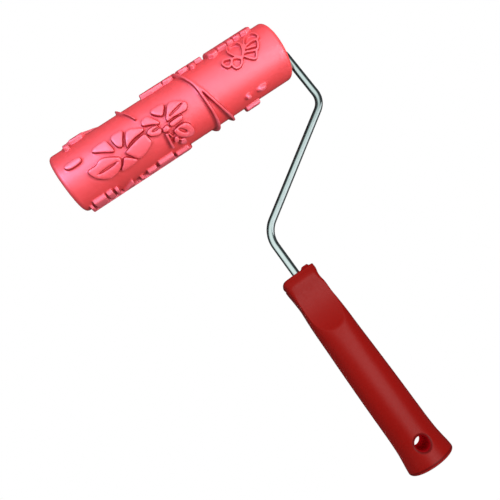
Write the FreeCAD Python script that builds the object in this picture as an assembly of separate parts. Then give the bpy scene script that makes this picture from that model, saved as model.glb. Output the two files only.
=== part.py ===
import FreeCAD, Part
import math
import os

from FreeCAD import Vector

os.makedirs("parts", exist_ok=True)

# Textured pattern roller for walls: an embossed rubber sleeve on a plastic core,
# carried by two end caps with nylon bushes on a cranked steel rod, with a moulded
# plastic handle.
#
# Frame: millimetres, origin at the centre of the hanging hole.  +X runs parallel to the
# turning axis, to the side where the rod leaves, and +Z runs up the handle to the sleeve.
# The rod is bent in the plane Y = 0 and the hanging hole runs along Y.
#
# Everything below is laid out from the middle of the sleeve on its turning axis, with
# the handle hanging down along -Z, and save() carries it to the hanging hole.

ORIGIN = Vector(0, 0, 0)
AXIS_X = Vector(1, 0, 0)
AXIS_Y = Vector(0, 1, 0)
AXIS_Z = Vector(0, 0, 1)

# ---------------------------------------------------------------- dimensions
# Names ending in _R are radii.
SLEEVE_LEN = 177.0
SLEEVE_BASE_R = 22.1      # plain surface of the rubber between the raised shapes
SLEEVE_TOP_R = 25.0       # top of the raised shapes
SLEEVE_END_FILLET = 3.4
RELIEF_SETBACK = 1.0      # raised shapes stop this far short of the sleeve's ends
RELIEF_ROOT = 0.6         # depth the raised shapes are sunk into the rubber
PRISM_SPAN = (15.0, 32.0)   # heights from the axis of an untrimmed raised shape
SLOT_SPAN = (23.4, 33.0)    # the same for a slot cut in it
RIB_STEP = 9.0            # longest piece of a raised line, measured around the sleeve

CORE_R = 18.0             # also the bore of the rubber, which is moulded on the core
CORE_BORE_R = 16.0
CORE_LEN = 171.0

# End cap: x values are distances from the middle of the sleeve
CAP_SKIRT_IN = 66.0
CAP_SKIRT_WALL = 2.0
CAP_WEB_IN = 76.0
CAP_WEB_OUT = CAP_WEB_IN + 2.0      # the bush flange sits on this face
CAP_FLANGE_IN = CORE_LEN / 2        # the flange rests on the end of the core tube
CAP_FLANGE_OUT = CAP_FLANGE_IN + 1.5
CAP_DISH_R = 13.4         # dished mouth around the rod
HUB_R = 8.0
CAP_RIB_T = 1.6
CAP_RIBS = 6
CAP_RIB_SETBACK = 2.0     # from the skirt's inner end
CAP_RIB_WEB_BITE = 0.5    # overlap with the web
CAP_RIB_WALL_BITE = 0.3   # overlap with the hub and with the skirt

ROD_R = 2.75
BUSH_BORE_R = ROD_R + 0.05
BUSH_R = 5.0
BUSH_FLANGE_R = 7.5
BUSH_FLANGE_OUT = CAP_WEB_OUT + 1.2

WASHER_R = 6.5
WASHER_BORE_R = ROD_R + 0.1
WASHER_IN = BUSH_FLANGE_OUT + 0.3
WASHER_OUT = WASHER_IN + 0.9
RETAINER_IN = WASHER_OUT + 0.2      # |x| where the rod's ears and the push nut start
NUT_R = 7.0
NUT_T = 1.1
NUT_SLITS = 6

HUBCAP_X = 85.0           # |x| of the inner edge of the cover's rim
HUBCAP_T = 1.5
HUBCAP_DOME = 1.2
HUBCAP_BORE_R = 12.0

# Cranked rod
HANDLE_X = 5.0            # handle axis, and the rod's lower leg
ARM_X = 91.7              # straight arm beside the sleeve
ROD_FREE_END = -83.6
ROD_END_Z = -199.0        # end of the rod inside the handle
ROD_CHAMFER = 0.7
# x, z and centre-line bend radius of each corner
ROD_CORNERS = [
    (ARM_X, 0.0, 8.0),
    (ARM_X, -50.8, 14.5),
    (HANDLE_X, -107.9, 19.0),
]
EAR_LEN = 2.8             # swaged ears behind the arm-side washer
EAR_SPAN = 10.4
EAR_T = 2.6
LOCK_Z0 = -190.0          # flattened ears that lock the rod in the handle
LOCK_Z1 = -183.0
LOCK_SPAN = 9.0
LOCK_T = 2.4
EAR_FILLET = 1.0

# Handle sections: z, half width in X, half depth in Y, squareness of the section
HANDLE = [
    (-142.0, 10.9, 8.3, 4.0),
    (-142.4, 11.7, 9.1, 4.6),
    (-143.4, 12.3, 9.65, 5.2),
    (-147.5, 12.65, 9.9, 5.5),
    (-155.0, 12.1, 9.95, 5.5),
    (-162.5, 11.75, 10.2, 5.0),
    (-171.0, 12.3, 10.8, 4.0),
    (-180.0, 12.8, 11.6, 3.0),
    (-192.0, 13.05, 12.2, 2.45),
    (-212.0, 13.45, 12.7, 2.2),
    (-236.0, 13.7, 13.0, 2.12),
    (-256.0, 13.75, 13.1, 2.06),
    (-265.0, 14.0, 13.4, 2.04),
    (-272.0, 14.7, 14.2, 2.0),
    (-276.5, 15.3, 14.8, 2.0),
    (-279.3, 15.55, 15.1, 2.0),
    (-280.7, 15.0, 14.6, 2.0),
    (-281.2, 14.0, 13.6, 2.0),
]
HANDLE_TOP = HANDLE[0][0]
SECTION_SAMPLES = 1440    # fine steps used to measure along a section
SECTION_POINTS = 64       # points its curve passes through
SCOOP = [(-149.8, 9.9), (-163.5, 7.9), (-184.6, 11.9)]   # z, |y| along a thumb scoop
NUB_X0 = 4.6              # lug on the head, x from the handle axis
NUB_X1 = 10.6
NUB_HALF_DEPTH = 7.0
NUB_HEIGHT = 2.0
NUB_ROOT = 3.0            # depth sunk into the head
NUB_FILLET = 1.0
HANG_R = 4.2              # hanging hole across the butt
HANG_LIP = 1.9            # rounding of its two mouths
HANG_Z = -266.8
CUT_LEN = 60.0            # cutters through the handle, centred on its axis

# ------------------------------------------------------------- raised pattern
# Outlines on the unrolled sleeve: x along the axis, s around it in mm at SLEEVE_TOP_R.
# s = 0 faces -Y and s grows towards the handle (-Z).
# A stamp is (turning centre, pads, slots cut in the pads).
FLOWER_A = ((-44.5, 13.5), [
    [(-60.2, 1.6), (-58.0, 0.2), (-52.0, -0.4), (-48.9, 0.0), (-48.1, 4.0), (-47.4, 8.8),
     (-48.8, 9.6), (-54.0, 6.4), (-59.0, 3.4)],
    [(-45.4, 1.2), (-43.4, -0.5), (-38.0, -0.4), (-36.0, 1.2), (-38.6, 5.4), (-41.9, 9.9),
     (-44.5, 8.6), (-45.5, 4.2)],
    [(-39.9, 12.5), (-38.0, 7.8), (-35.4, 3.8), (-33.4, 2.4), (-30.6, 2.9), (-26.8, 5.0),
     (-23.6, 7.2), (-24.2, 8.7), (-27.5, 9.2), (-32.5, 9.6), (-37.0, 11.0)],
    [(-42.2, 14.6), (-38.4, 13.1), (-33.0, 11.7), (-27.5, 10.8), (-24.9, 10.8), (-24.3, 13.2),
     (-23.5, 17.2), (-24.4, 18.6), (-26.8, 20.4), (-30.0, 22.1), (-34.0, 23.2), (-37.0, 22.9),
     (-40.0, 19.0)],
    [(-51.0, 23.2), (-47.5, 19.6), (-45.5, 17.0), (-43.5, 17.2), (-40.0, 20.6), (-38.0, 23.2),
     (-40.0, 24.3), (-45.0, 24.7), (-50.0, 24.5)],
    [(-69.9, 12.9), (-69.0, 11.0), (-63.2, 10.9), (-59.8, 9.1), (-56.0, 9.5), (-50.6, 12.4),
     (-47.2, 15.0), (-47.8, 17.9), (-50.8, 21.5), (-55.0, 23.5), (-60.2, 23.7), (-65.0, 20.9),
     (-68.4, 17.0)],
], [
    [(-65.6, 16.7), (-61.0, 16.0), (-55.0, 16.0), (-49.6, 16.6), (-55.0, 17.4), (-61.0, 17.4)],
])
FLOWER_B = ((-11.0, 12.3), [
    [(-14.0, 1.4), (-12.2, -0.5), (-8.4, -0.9), (-4.8, -0.4), (-3.4, 1.1), (-5.2, 4.0),
     (-8.0, 7.0), (-9.6, 6.8), (-12.4, 4.1)],
    [(-23.4, 4.6), (-22.0, 2.2), (-18.8, 1.4), (-16.4, 2.4), (-14.8, 5.4), (-12.8, 8.4),
     (-12.5, 10.4), (-14.2, 10.5), (-17.0, 8.7), (-20.4, 7.2), (-22.8, 6.2)],
    [(-5.6, 7.5), (-2.4, 3.4), (0.4, 1.8), (3.4, 2.9), (7.8, 5.8), (9.9, 8.2), (9.2, 10.6),
     (7.0, 12.6), (2.0, 12.4), (-3.0, 11.9), (-7.8, 12.2), (-7.4, 9.8)],
    [(-7.8, 14.9), (-6.6, 13.7), (-2.0, 13.4), (2.2, 13.5), (3.0, 14.2), (1.8, 16.2),
     (-2.0, 16.8), (-6.6, 16.9)],
    [(-13.8, 16.6), (-12.8, 14.6), (-9.6, 13.8), (-8.6, 15.4), (-9.0, 17.5), (-12.2, 17.8)],
    [(-23.6, 11.6), (-21.4, 9.9), (-18.0, 9.7), (-15.2, 10.7), (-14.0, 13.0), (-14.4, 15.4),
     (-16.4, 16.9), (-19.8, 16.0), (-22.6, 14.2)],
], [
    [(-4.6, 9.4), (1.2, 7.8), (8.4, 6.5), (4.4, 8.4), (-0.6, 9.6), (-4.2, 10.2)],
    [(-20.6, 12.4), (-18.0, 11.7), (-15.0, 11.8), (-13.0, 12.5), (-15.0, 13.0), (-18.0, 13.2)],
])
LEAF = ((-2.0, 24.0), [
    [(-7.4, 20.2), (-5.4, 19.3), (-2.0, 18.9), (1.8, 19.2), (4.2, 21.6), (5.2, 26.0),
     (4.6, 29.4), (2.0, 31.0), (-1.4, 29.9), (-4.6, 27.4), (-7.0, 24.2)],
    [(-10.8, 27.5), (-9.5, 24.8), (-7.8, 24.2), (-6.8, 26.0), (-7.6, 28.4), (-9.6, 28.8)],
    [(-7.6, 31.2), (-4.6, 28.9), (-3.0, 29.7), (-3.0, 33.0), (-4.4, 34.4), (-6.4, 33.2)],
], [
    [(-4.0, 20.4), (-2.0, 21.2), (-0.3, 23.6), (0.6, 26.4), (-1.4, 25.4), (-3.2, 23.0)],
])
PADS = [
    [(-81.0, 0.6), (-78.0, -0.6), (-70.2, -0.6), (-68.4, 1.4), (-70.0, 3.5), (-76.0, 4.0),
     (-79.6, 3.1)],
    [(-79.0, -38.5), (-75.0, -34.0), (-71.0, -30.0), (-66.0, -28.2), (-60.0, -28.6),
     (-55.0, -33.0), (-50.0, -36.0), (-46.0, -39.5), (-52.0, -44.0), (-62.0, -46.0),
     (-72.0, -44.0)],
]
# Two small rounded islands
ISLANDS = [
    [(47.6, 31.4), (48.6, 29.2), (50.6, 28.5), (52.2, 29.4), (52.6, 31.4), (51.4, 33.4),
     (49.0, 33.4)],
    [(57.0, 31.0), (58.6, 29.0), (61.6, 28.4), (64.6, 29.0), (65.7, 30.9), (64.4, 33.0),
     (61.4, 33.6), (58.4, 33.2)],
]
# Flat blocks with straight edges and crisp corners, most of them over the top.
BLOCKS = [
    [(-75.4, -19.2), (-71.2, -19.6), (-71.0, -15.0), (-73.0, -13.6), (-75.2, -14.8)],
    [(-70.5, -20.5), (-66.0, -19.2), (-60.5, -19.5), (-58.5, -22.4), (-58.8, -25.8),
     (-69.4, -25.6)],
    [(-13.0, -20.2), (-4.4, -19.2), (4.6, -19.6), (4.8, -26.0), (3.4, -33.6), (-12.6, -33.0)],
    [(5.4, -19.8), (9.6, -18.8), (13.5, -20.2), (12.6, -26.0), (11.4, -34.0), (5.0, -33.6)],
    [(18.5, -20.6), (22.0, -19.4), (26.0, -20.2), (26.0, -34.0), (17.0, -33.8)],
    [(26.7, -17.4), (28.8, -15.4), (31.2, -17.6), (31.4, -33.0), (26.8, -33.4)],
    [(32.1, -21.4), (37.6, -20.8), (38.2, -27.0), (37.0, -34.4), (32.2, -34.0)],
    [(41.0, -15.6), (44.2, -12.6), (48.6, -14.4), (48.8, -24.0), (47.4, -33.8), (41.4, -33.0)],
    [(49.5, -15.8), (56.6, -15.0), (56.8, -24.0), (55.8, -34.2), (49.2, -34.0)],
    [(57.5, -16.4), (62.0, -16.0), (62.2, -34.0), (57.4, -34.4)],
    [(62.9, -17.6), (65.6, -16.0), (68.4, -17.2), (68.4, -33.0), (63.0, -33.6)],
    [(69.2, -17.6), (73.4, -16.2), (77.5, -18.6), (76.4, -26.0), (76.0, -33.8), (69.2, -33.6)],
    [(46.6, 43.4), (52.0, 42.6), (57.9, 42.8), (57.4, 55.6), (47.2, 56.0)],
    [(-84.0, 47.0), (-70.0, 46.6), (-57.0, 47.8), (-43.0, 46.8), (-28.0, 47.2), (-14.0, 48.6),
     (-2.4, 51.4), (0.4, 55.0), (-2.6, 61.0), (-16.0, 60.0), (-30.0, 62.0), (-46.0, 60.4),
     (-60.0, 62.2), (-83.4, 61.0)],
    [(-12.8, -26.4), (15.4, -26.4), (15.0, -35.0), (-12.2, -34.4)],
    [(17.4, -26.4), (38.0, -26.4), (37.4, -35.4), (17.2, -34.6)],
    [(40.8, -26.4), (76.8, -26.4), (75.8, -34.8), (41.0, -35.2)],
]
# Blocks given with a slope on the low-s side; the first two points are its foot.
# They are built straight-sided, with that side half way up the slope.
SLOPE_RUN = 2.6
SLOPE_MIN_DEPTH = 0.4     # the other points stay at least this far beyond that side
SLOPED_BLOCKS = [
    [(-83.4, 36.2), (-81.0, 36.2), (-80.8, 46.0), (-83.2, 46.0)],
    [(-79.7, 33.0), (-70.0, 32.8), (-69.9, 43.4), (-74.0, 45.4), (-79.4, 44.8)],
    [(-68.8, 33.0), (-64.3, 32.8), (-64.2, 43.6), (-68.6, 44.8)],
    [(-62.6, 34.4), (-60.0, 34.0), (-60.2, 45.4), (-62.8, 45.0)],
    [(-58.9, 45.0), (-49.0, 36.8), (-48.8, 45.0), (-53.0, 47.0), (-58.0, 46.8)],
    [(-43.6, 40.6), (-41.0, 40.4), (-40.8, 46.2), (-43.4, 46.6)],
    [(-37.2, 38.2), (-29.8, 38.2), (-29.6, 44.6), (-33.0, 46.2), (-37.0, 45.4)],
    [(-27.7, 36.3), (-15.3, 36.1), (-15.5, 45.0), (-20.0, 47.2), (-27.4, 45.8)],
    [(-13.6, 39.8), (-4.2, 39.6), (-1.6, 45.4), (-2.4, 49.6), (-8.0, 50.8), (-13.4, 50.0)],
]
# The +Y side of the sleeve repeats the stamps: stamp, new centre, turn in degrees, scale
REPEATS = [
    (FLOWER_A, (58.0, 77.0), 165.0, 0.92),
    (FLOWER_B, (-52.0, 80.0), 62.0, 0.95),
    (LEAF, (-30.0, 72.0), -35.0, 1.1),
    (FLOWER_B, (58.0, 107.0), 190.0, 0.9),
    (FLOWER_A, (-22.0, 102.0), 20.0, 0.86),
    (LEAF, (-8.0, 77.0), 100.0, 1.1),
    (LEAF, (-76.0, 76.0), 30.0, 1.0),
    (LEAF, (78.0, 96.0), -70.0, 1.1),
    (LEAF, (37.0, 98.0), 150.0, 0.9),
]

# Raised lines, as points along their middle.
# Two stems that run most of the way round
STEM_HALF_WIDTH = 0.95
STEMS = [
    [(14.0, -30.0), (15.8, -20.0), (17.2, -13.0), (18.8, -7.0), (20.6, -1.0), (21.4, 5.0),
     (21.6, 12.0), (22.0, 18.0), (22.4, 24.0), (22.7, 30.0), (22.8, 37.0), (22.4, 47.0),
     (20.6, 60.0), (16.6, 74.0), (11.4, 90.0), (9.0, 106.0), (11.0, 118.0), (14.0, 127.08)],
    [(20.7, -1.0), (22.4, 4.5), (24.2, 9.0), (25.8, 14.5), (27.6, 20.0), (29.2, 25.0),
     (30.9, 30.0), (32.8, 36.0), (34.6, 43.0), (35.6, 50.0), (35.6, 58.0), (33.4, 68.0),
     (27.8, 82.0), (23.0, 98.0), (18.0, 112.0), (14.0, 127.08)],
    # short stalk below a flower
    [(-12.8, 19.4), (-13.2, 24.0), (-13.4, 31.0)],
]
FINE_HALF_WIDTH = 0.62
FINE_LINES = [
    [(-32.2, -38.0), (-32.2, -24.0), (-30.6, -16.0), (-27.4, -9.0), (-25.6, -4.6),
     (-24.6, -1.6)],
    [(-11.0, 19.2), (-10.4, 21.6), (-9.8, 23.2)],
    [(-6.4, 27.8), (-5.6, 29.6)],
]
# Flower drawn with raised outlines, and its one repeat
OUTLINE_HALF_WIDTH = 0.75
OUTLINE_FLOWER_CENTRE = (59.2, 0.6)
OUTLINE_FLOWER = [
    [(57.8, 3.6), (55.4, 1.2), (53.2, 0.2), (51.2, 1.2), (50.2, 3.4), (50.2, 5.8), (51.6, 7.6),
     (54.0, 7.6), (56.4, 6.2), (57.8, 3.6)],
    [(49.8, 2.6), (47.6, 3.8), (45.8, 2.6), (44.9, -0.6), (46.6, -2.6), (50.0, -1.6),
     (52.0, 0.2), (49.8, 2.6)],
    [(58.6, 3.2), (55.6, -0.2), (53.8, -3.4), (53.2, -7.0), (54.6, -10.4), (58.4, -11.8),
     (62.0, -10.2), (63.4, -6.6), (62.6, -3.0), (61.0, 0.4), (58.6, 3.2)],
    [(61.2, 1.2), (63.0, -1.4), (66.4, -3.0), (70.6, -3.6), (73.8, -2.4), (73.0, 0.8),
     (70.6, 4.0), (66.6, 3.0), (63.4, 1.6), (61.2, 1.2)],
    [(64.6, -0.6), (67.6, 0.2), (70.2, 1.2)],
    [(60.4, 3.6), (62.8, 6.6), (65.2, 8.8), (67.0, 8.2), (68.6, 5.6), (70.2, 4.2)],
    [(64.4, -3.4), (66.4, -7.4), (70.2, -10.6), (74.2, -10.4), (76.4, -6.6), (76.0, -3.2),
     (73.8, -2.4)],
]
OUTLINE_REPEAT = {"target": (-66.0, 103.0), "turn": 170.0, "scale": 0.85}


# ------------------------------------------------------------------- helpers
def closed_face(points):
    return Part.Face(Part.makePolygon(points + [points[0]]))


def revolve_x(profile):
    """Solid of revolution about X from (x, radius) points."""
    return closed_face([Vector(x, 0, r) for x, r in profile]).revolve(ORIGIN, AXIS_X, 360)


def cylinder_x(radius, x0, x1):
    return Part.makeCylinder(radius, x1 - x0, Vector(x0, 0, 0), AXIS_X)


def edges_along(shape, axis):
    return [edge for edge in shape.Edges
            if abs(edge.tangentAt(edge.FirstParameter).dot(axis)) > 0.9]


def save(name, shape):
    """Write one piece, moved so that the hanging hole is at the origin."""
    if shape.ShapeType != "Solid" and len(shape.Solids) == 1:
        shape = shape.Solids[0]
    if not shape.isValid():
        shape.fix(1e-4, 1e-4, 1e-4)
    shape = shape.copy()
    shape.translate(Vector(-HANDLE_X, 0, -HANG_Z))
    shape.exportStep("parts/%s.step" % name)


def save_pair(name, shape):
    """Write an arm-side (+X) piece and its mirror image on the free side."""
    save("arm_end_" + name, shape)
    save("free_end_" + name, shape.mirror(ORIGIN, AXIS_X))


# ------------------------------------------------------------ pattern sleeve
def moved(outline, centre, target, turn, scale):
    """The outline turned by degrees about centre, scaled and carried to target."""
    cos = math.cos(math.radians(turn)) * scale
    sin = math.sin(math.radians(turn)) * scale
    return [(target[0] + (x - centre[0]) * cos - (s - centre[1]) * sin,
             target[1] + (x - centre[0]) * sin + (s - centre[1]) * cos) for x, s in outline]


def without_slope(outline):
    """A sloped block's outline with its sloping side moved half way up the slope."""
    rise = SLOPE_RUN / 2
    foot = outline[:2]
    limit = min(s for _, s in foot) + rise + SLOPE_MIN_DEPTH
    return [(x, s + rise) for x, s in foot] + [(x, max(s, limit)) for x, s in outline[2:]]


def raised_areas():
    """All raised areas as (outline, slots)."""
    areas = []
    for _, pads, slots in (FLOWER_A, FLOWER_B, LEAF):
        areas += [(pad, slots) for pad in pads]
    areas += [(outline, []) for outline in PADS + ISLANDS + BLOCKS]
    areas += [(without_slope(outline), []) for outline in SLOPED_BLOCKS]
    for (centre, pads, slots), target, turn, scale in REPEATS:
        moved_slots = [moved(slot, centre, target, turn, scale) for slot in slots]
        areas += [(moved(pad, centre, target, turn, scale), moved_slots) for pad in pads]
    return areas


def raised_lines():
    """All raised lines as (points, half width)."""
    repeat = [moved(line, OUTLINE_FLOWER_CENTRE, **OUTLINE_REPEAT) for line in OUTLINE_FLOWER]
    return ([(line, STEM_HALF_WIDTH) for line in STEMS]
            + [(line, FINE_HALF_WIDTH) for line in FINE_LINES]
            + [(line, OUTLINE_HALF_WIDTH) for line in OUTLINE_FLOWER + repeat])


def prism(outline, span):
    """Straight-sided block over an outline of the unrolled sleeve, between two heights."""
    mid = sum(s for _, s in outline) / len(outline) / SLEEVE_TOP_R
    outward = Vector(0, -math.cos(mid), -math.sin(mid))
    around = Vector(0, math.sin(mid), -math.cos(mid))
    points = [Vector(x, 0, 0) + outward * span[0]
              + around * (SLEEVE_TOP_R * math.sin(s / SLEEVE_TOP_R - mid))
              for x, s in outline]
    return closed_face(points).extrude(outward * (span[1] - span[0]))


def strip(start, end, half_width):
    """Outline of a straight raised line with pointed, overlapping ends."""
    dx, ds = end[0] - start[0], end[1] - start[1]
    length = math.hypot(dx, ds)
    dx, ds = dx / length * half_width, ds / length * half_width
    return [(start[0] - ds, start[1] + dx), (start[0] - dx, start[1] - ds),
            (start[0] + ds, start[1] - dx), (end[0] + ds, end[1] - dx),
            (end[0] + dx, end[1] + ds), (end[0] - ds, end[1] + dx)]


def line_prisms(line, half_width):
    """Blocks along a raised line, in short pieces so that they follow the curve."""
    blocks = []
    for (x0, s0), (x1, s1) in zip(line[:-1], line[1:]):
        count = max(1, int(math.ceil(abs(s1 - s0) / RIB_STEP)))
        stops = [(x0 + (x1 - x0) * i / count, s0 + (s1 - s0) * i / count)
                 for i in range(count + 1)]
        blocks += [prism(strip(start, end, half_width), PRISM_SPAN)
                   for start, end in zip(stops[:-1], stops[1:])]
    return blocks


def plain_sleeve():
    """Rubber tube with rounded outer ends."""
    half = SLEEVE_LEN / 2
    fillet = SLEEVE_END_FILLET
    diagonal = fillet * math.sin(math.radians(45))
    # x, radius of the rounding's end, middle and inner points
    rounding = [(half, SLEEVE_BASE_R - fillet),
                (half - fillet + diagonal, SLEEVE_BASE_R - fillet + diagonal),
                (half - fillet, SLEEVE_BASE_R)]
    low_arc = [Vector(-x, 0, r) for x, r in rounding]
    high_arc = [Vector(x, 0, r) for x, r in reversed(rounding)]
    low_bore = Vector(-half, 0, CORE_R)
    high_bore = Vector(half, 0, CORE_R)
    edges = [
        Part.makeLine(low_bore, low_arc[0]),
        Part.Arc(*low_arc).toShape(),
        Part.makeLine(low_arc[2], high_arc[0]),
        Part.Arc(*high_arc).toShape(),
        Part.makeLine(high_arc[2], high_bore),
        Part.makeLine(high_bore, low_bore),
    ]
    return Part.Face(Part.Wire(edges)).revolve(ORIGIN, AXIS_X, 360)


def pattern_sleeve():
    blocks = []
    for outline, slots in raised_areas():
        block = prism(outline, PRISM_SPAN)
        for slot in slots:
            block = block.cut(prism(slot, SLOT_SPAN))
        blocks.append(block)
    for line, half_width in raised_lines():
        blocks += line_prisms(line, half_width)
    # the ring trims the blocks to the round top of the relief
    half = SLEEVE_LEN / 2
    ring = cylinder_x(SLEEVE_TOP_R, -half + RELIEF_SETBACK, half - RELIEF_SETBACK).cut(
        cylinder_x(SLEEVE_BASE_R - RELIEF_ROOT, -half, half))
    relief = blocks[0].multiFuse(blocks[1:]).common(ring)
    return plain_sleeve().fuse(relief)


# ------------------------------------------------- core, end caps and bushes
def core_tube():
    return cylinder_x(CORE_R, -CORE_LEN / 2, CORE_LEN / 2).cut(
        cylinder_x(CORE_BORE_R, -CORE_LEN, CORE_LEN))


def end_cap():
    """Flanged cup with a hub for the bush and ribs from the hub to the skirt."""
    skirt_inner_r = CORE_BORE_R - CAP_SKIRT_WALL
    cap = revolve_x([
        (CAP_SKIRT_IN, CORE_BORE_R - 0.5), (CAP_SKIRT_IN + 1.5, CORE_BORE_R),
        (CAP_FLANGE_IN, CORE_BORE_R), (CAP_FLANGE_IN, CORE_R),
        (CAP_FLANGE_OUT - 0.5, CORE_R), (CAP_FLANGE_OUT, CORE_R - 0.5),
        (CAP_FLANGE_OUT, CAP_DISH_R + 0.4), (CAP_FLANGE_OUT - 0.4, CAP_DISH_R),
        (CAP_WEB_OUT, CAP_DISH_R), (CAP_WEB_OUT, BUSH_R),
        (CAP_SKIRT_IN, BUSH_R), (CAP_SKIRT_IN, HUB_R),
        (CAP_WEB_IN, HUB_R), (CAP_WEB_IN, skirt_inner_r), (CAP_SKIRT_IN, skirt_inner_r)])
    rib_x = CAP_SKIRT_IN + CAP_RIB_SETBACK
    for i in range(CAP_RIBS):
        rib = Part.makeBox(CAP_WEB_IN + CAP_RIB_WEB_BITE - rib_x, CAP_RIB_T,
                           skirt_inner_r - HUB_R + 2 * CAP_RIB_WALL_BITE,
                           Vector(rib_x, -CAP_RIB_T / 2, HUB_R - CAP_RIB_WALL_BITE))
        rib.rotate(ORIGIN, AXIS_X, 360.0 * i / CAP_RIBS)
        cap = cap.fuse(rib)
    return cap.removeSplitter()


def bush():
    """Flanged bush, as long as the cap's hub."""
    return revolve_x([
        (CAP_SKIRT_IN, BUSH_BORE_R + 0.3), (CAP_SKIRT_IN, BUSH_R - 0.4),
        (CAP_SKIRT_IN + 0.4, BUSH_R), (CAP_WEB_OUT, BUSH_R),
        (CAP_WEB_OUT, BUSH_FLANGE_R), (BUSH_FLANGE_OUT - 0.3, BUSH_FLANGE_R),
        (BUSH_FLANGE_OUT, BUSH_FLANGE_R - 0.3), (BUSH_FLANGE_OUT, BUSH_BORE_R),
        (CAP_SKIRT_IN + 0.3, BUSH_BORE_R)])


def washer():
    return cylinder_x(WASHER_R, WASHER_IN, WASHER_OUT).cut(
        cylinder_x(WASHER_BORE_R, WASHER_IN - 1, WASHER_IN + 2))


# ------------------------------------------------------- free-side retainers
def push_nut():
    """Push-on retainer: a disc with a slit, coned grip on the rod."""
    inner = -RETAINER_IN
    outer = inner - NUT_T
    nut = revolve_x([
        (inner, ROD_R + 1.0), (inner, NUT_R), (outer, NUT_R),
        (outer, ROD_R + 1.3), (outer - 1.0, ROD_R), (outer + 0.2, ROD_R)])
    for i in range(NUT_SLITS):
        slit = Part.makeBox(4.0, 0.7, 2.4, Vector(outer - 1.6, -0.35, ROD_R + 0.25))
        slit.rotate(ORIGIN, AXIS_X, 360.0 / NUT_SLITS * i)
        nut = nut.cut(slit)
    return nut


def hub_cap():
    """Snap-in domed cover in the free-side cap's mouth."""
    inner = -HUBCAP_X
    outer = inner - HUBCAP_T
    return revolve_x([
        (outer - HUBCAP_DOME, 0.0), (outer - HUBCAP_DOME * 0.82, 5.0),
        (outer - HUBCAP_DOME * 0.35, 9.6), (outer, 12.2),
        (outer + 0.5, 13.25), (inner, CAP_DISH_R), (inner + 4.0, CAP_DISH_R),
        (inner + 4.5, 12.9), (inner + 4.5, HUBCAP_BORE_R), (inner, HUBCAP_BORE_R),
        (inner - HUBCAP_DOME * 0.4, 9.0), (inner - HUBCAP_DOME * 0.8, 5.0),
        (inner - HUBCAP_DOME, 0.0)])


# ------------------------------------------------------------------ bent rod
def bend(before, corner, after, radius):
    """Tangent arc at the corner of the line before-corner-after: (start, mid, end)."""
    back = before.sub(corner)
    onward = after.sub(corner)
    back.normalize()
    onward.normalize()
    half_angle = back.getAngle(onward) / 2
    setback = radius / math.tan(half_angle)
    bisector = back + onward
    bisector.normalize()
    centre = corner + bisector * (radius / math.sin(half_angle))
    return corner + back * setback, centre - bisector * radius, corner + onward * setback


def rod_spine():
    points = [Vector(ROD_FREE_END, 0, 0)]
    points += [Vector(x, 0, z) for x, z, _ in ROD_CORNERS]
    points.append(Vector(HANDLE_X, 0, ROD_END_Z))
    edges = []
    last = points[0]
    for i, (_, _, radius) in enumerate(ROD_CORNERS):
        start, mid, end = bend(points[i], points[i + 1], points[i + 2], radius)
        edges += [Part.makeLine(last, start), Part.Arc(start, mid, end).toShape()]
        last = end
    edges.append(Part.makeLine(last, points[-1]))
    return Part.Wire(edges)


def lock_ears():
    """Flat across the rod's lower leg; it also cuts its own seat in the handle."""
    lock = Part.makeBox(LOCK_SPAN, LOCK_T, LOCK_Z1 - LOCK_Z0,
                        Vector(HANDLE_X - LOCK_SPAN / 2, -LOCK_T / 2, LOCK_Z0))
    return lock.makeFillet(EAR_FILLET, edges_along(lock, AXIS_Y))


def wire_frame(lock):
    free_end = Vector(ROD_FREE_END, 0, 0)
    disc = Part.Wire([Part.makeCircle(ROD_R, free_end, AXIS_X)])
    rod = rod_spine().makePipeShell([disc], True, False)
    # the sweep may come back as a shell, or inside out
    if rod.ShapeType != "Solid" and rod.Shells:
        rod = Part.Solid(rod.Shells[0])
    if rod.Volume < 0:
        rod.reverse()
    chamfer = cylinder_x(ROD_R + 1.0, ROD_FREE_END, ROD_FREE_END + ROD_CHAMFER).cut(
        Part.makeCone(ROD_R - ROD_CHAMFER, ROD_R, ROD_CHAMFER, free_end, AXIS_X))
    rod = rod.cut(chamfer)
    ear = Part.makeBox(EAR_LEN, EAR_SPAN, EAR_T,
                       Vector(RETAINER_IN, -EAR_SPAN / 2, -EAR_T / 2))
    ear = ear.makeFillet(EAR_FILLET, edges_along(ear, AXIS_Z))
    return rod.fuse(ear).fuse(lock)


# -------------------------------------------------------------------- handle
def handle_section(z, half_x, half_y, squareness):
    """Closed smooth superellipse, with points evenly spread along it."""
    power = 2.0 / squareness
    dense = []
    for i in range(SECTION_SAMPLES):
        angle = 2 * math.pi * i / SECTION_SAMPLES
        cos, sin = math.cos(angle), math.sin(angle)
        dense.append((half_x * math.copysign(abs(cos) ** power, cos),
                      half_y * math.copysign(abs(sin) ** power, sin)))
    dense.append(dense[0])
    run = [0.0]
    for (x0, y0), (x1, y1) in zip(dense[:-1], dense[1:]):
        run.append(run[-1] + math.hypot(x1 - x0, y1 - y0))
    points = []
    j = 0
    for i in range(SECTION_POINTS):
        wanted = run[-1] * i / SECTION_POINTS
        while run[j + 1] < wanted:
            j += 1
        part = (wanted - run[j]) / (run[j + 1] - run[j])
        (x0, y0), (x1, y1) = dense[j], dense[j + 1]
        points.append(Vector(HANDLE_X + x0 + (x1 - x0) * part, y0 + (y1 - y0) * part, z))
    curve = Part.BSplineCurve()
    curve.interpolate(Points=points, PeriodicFlag=True)
    return Part.Wire([curve.toShape()])


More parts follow.
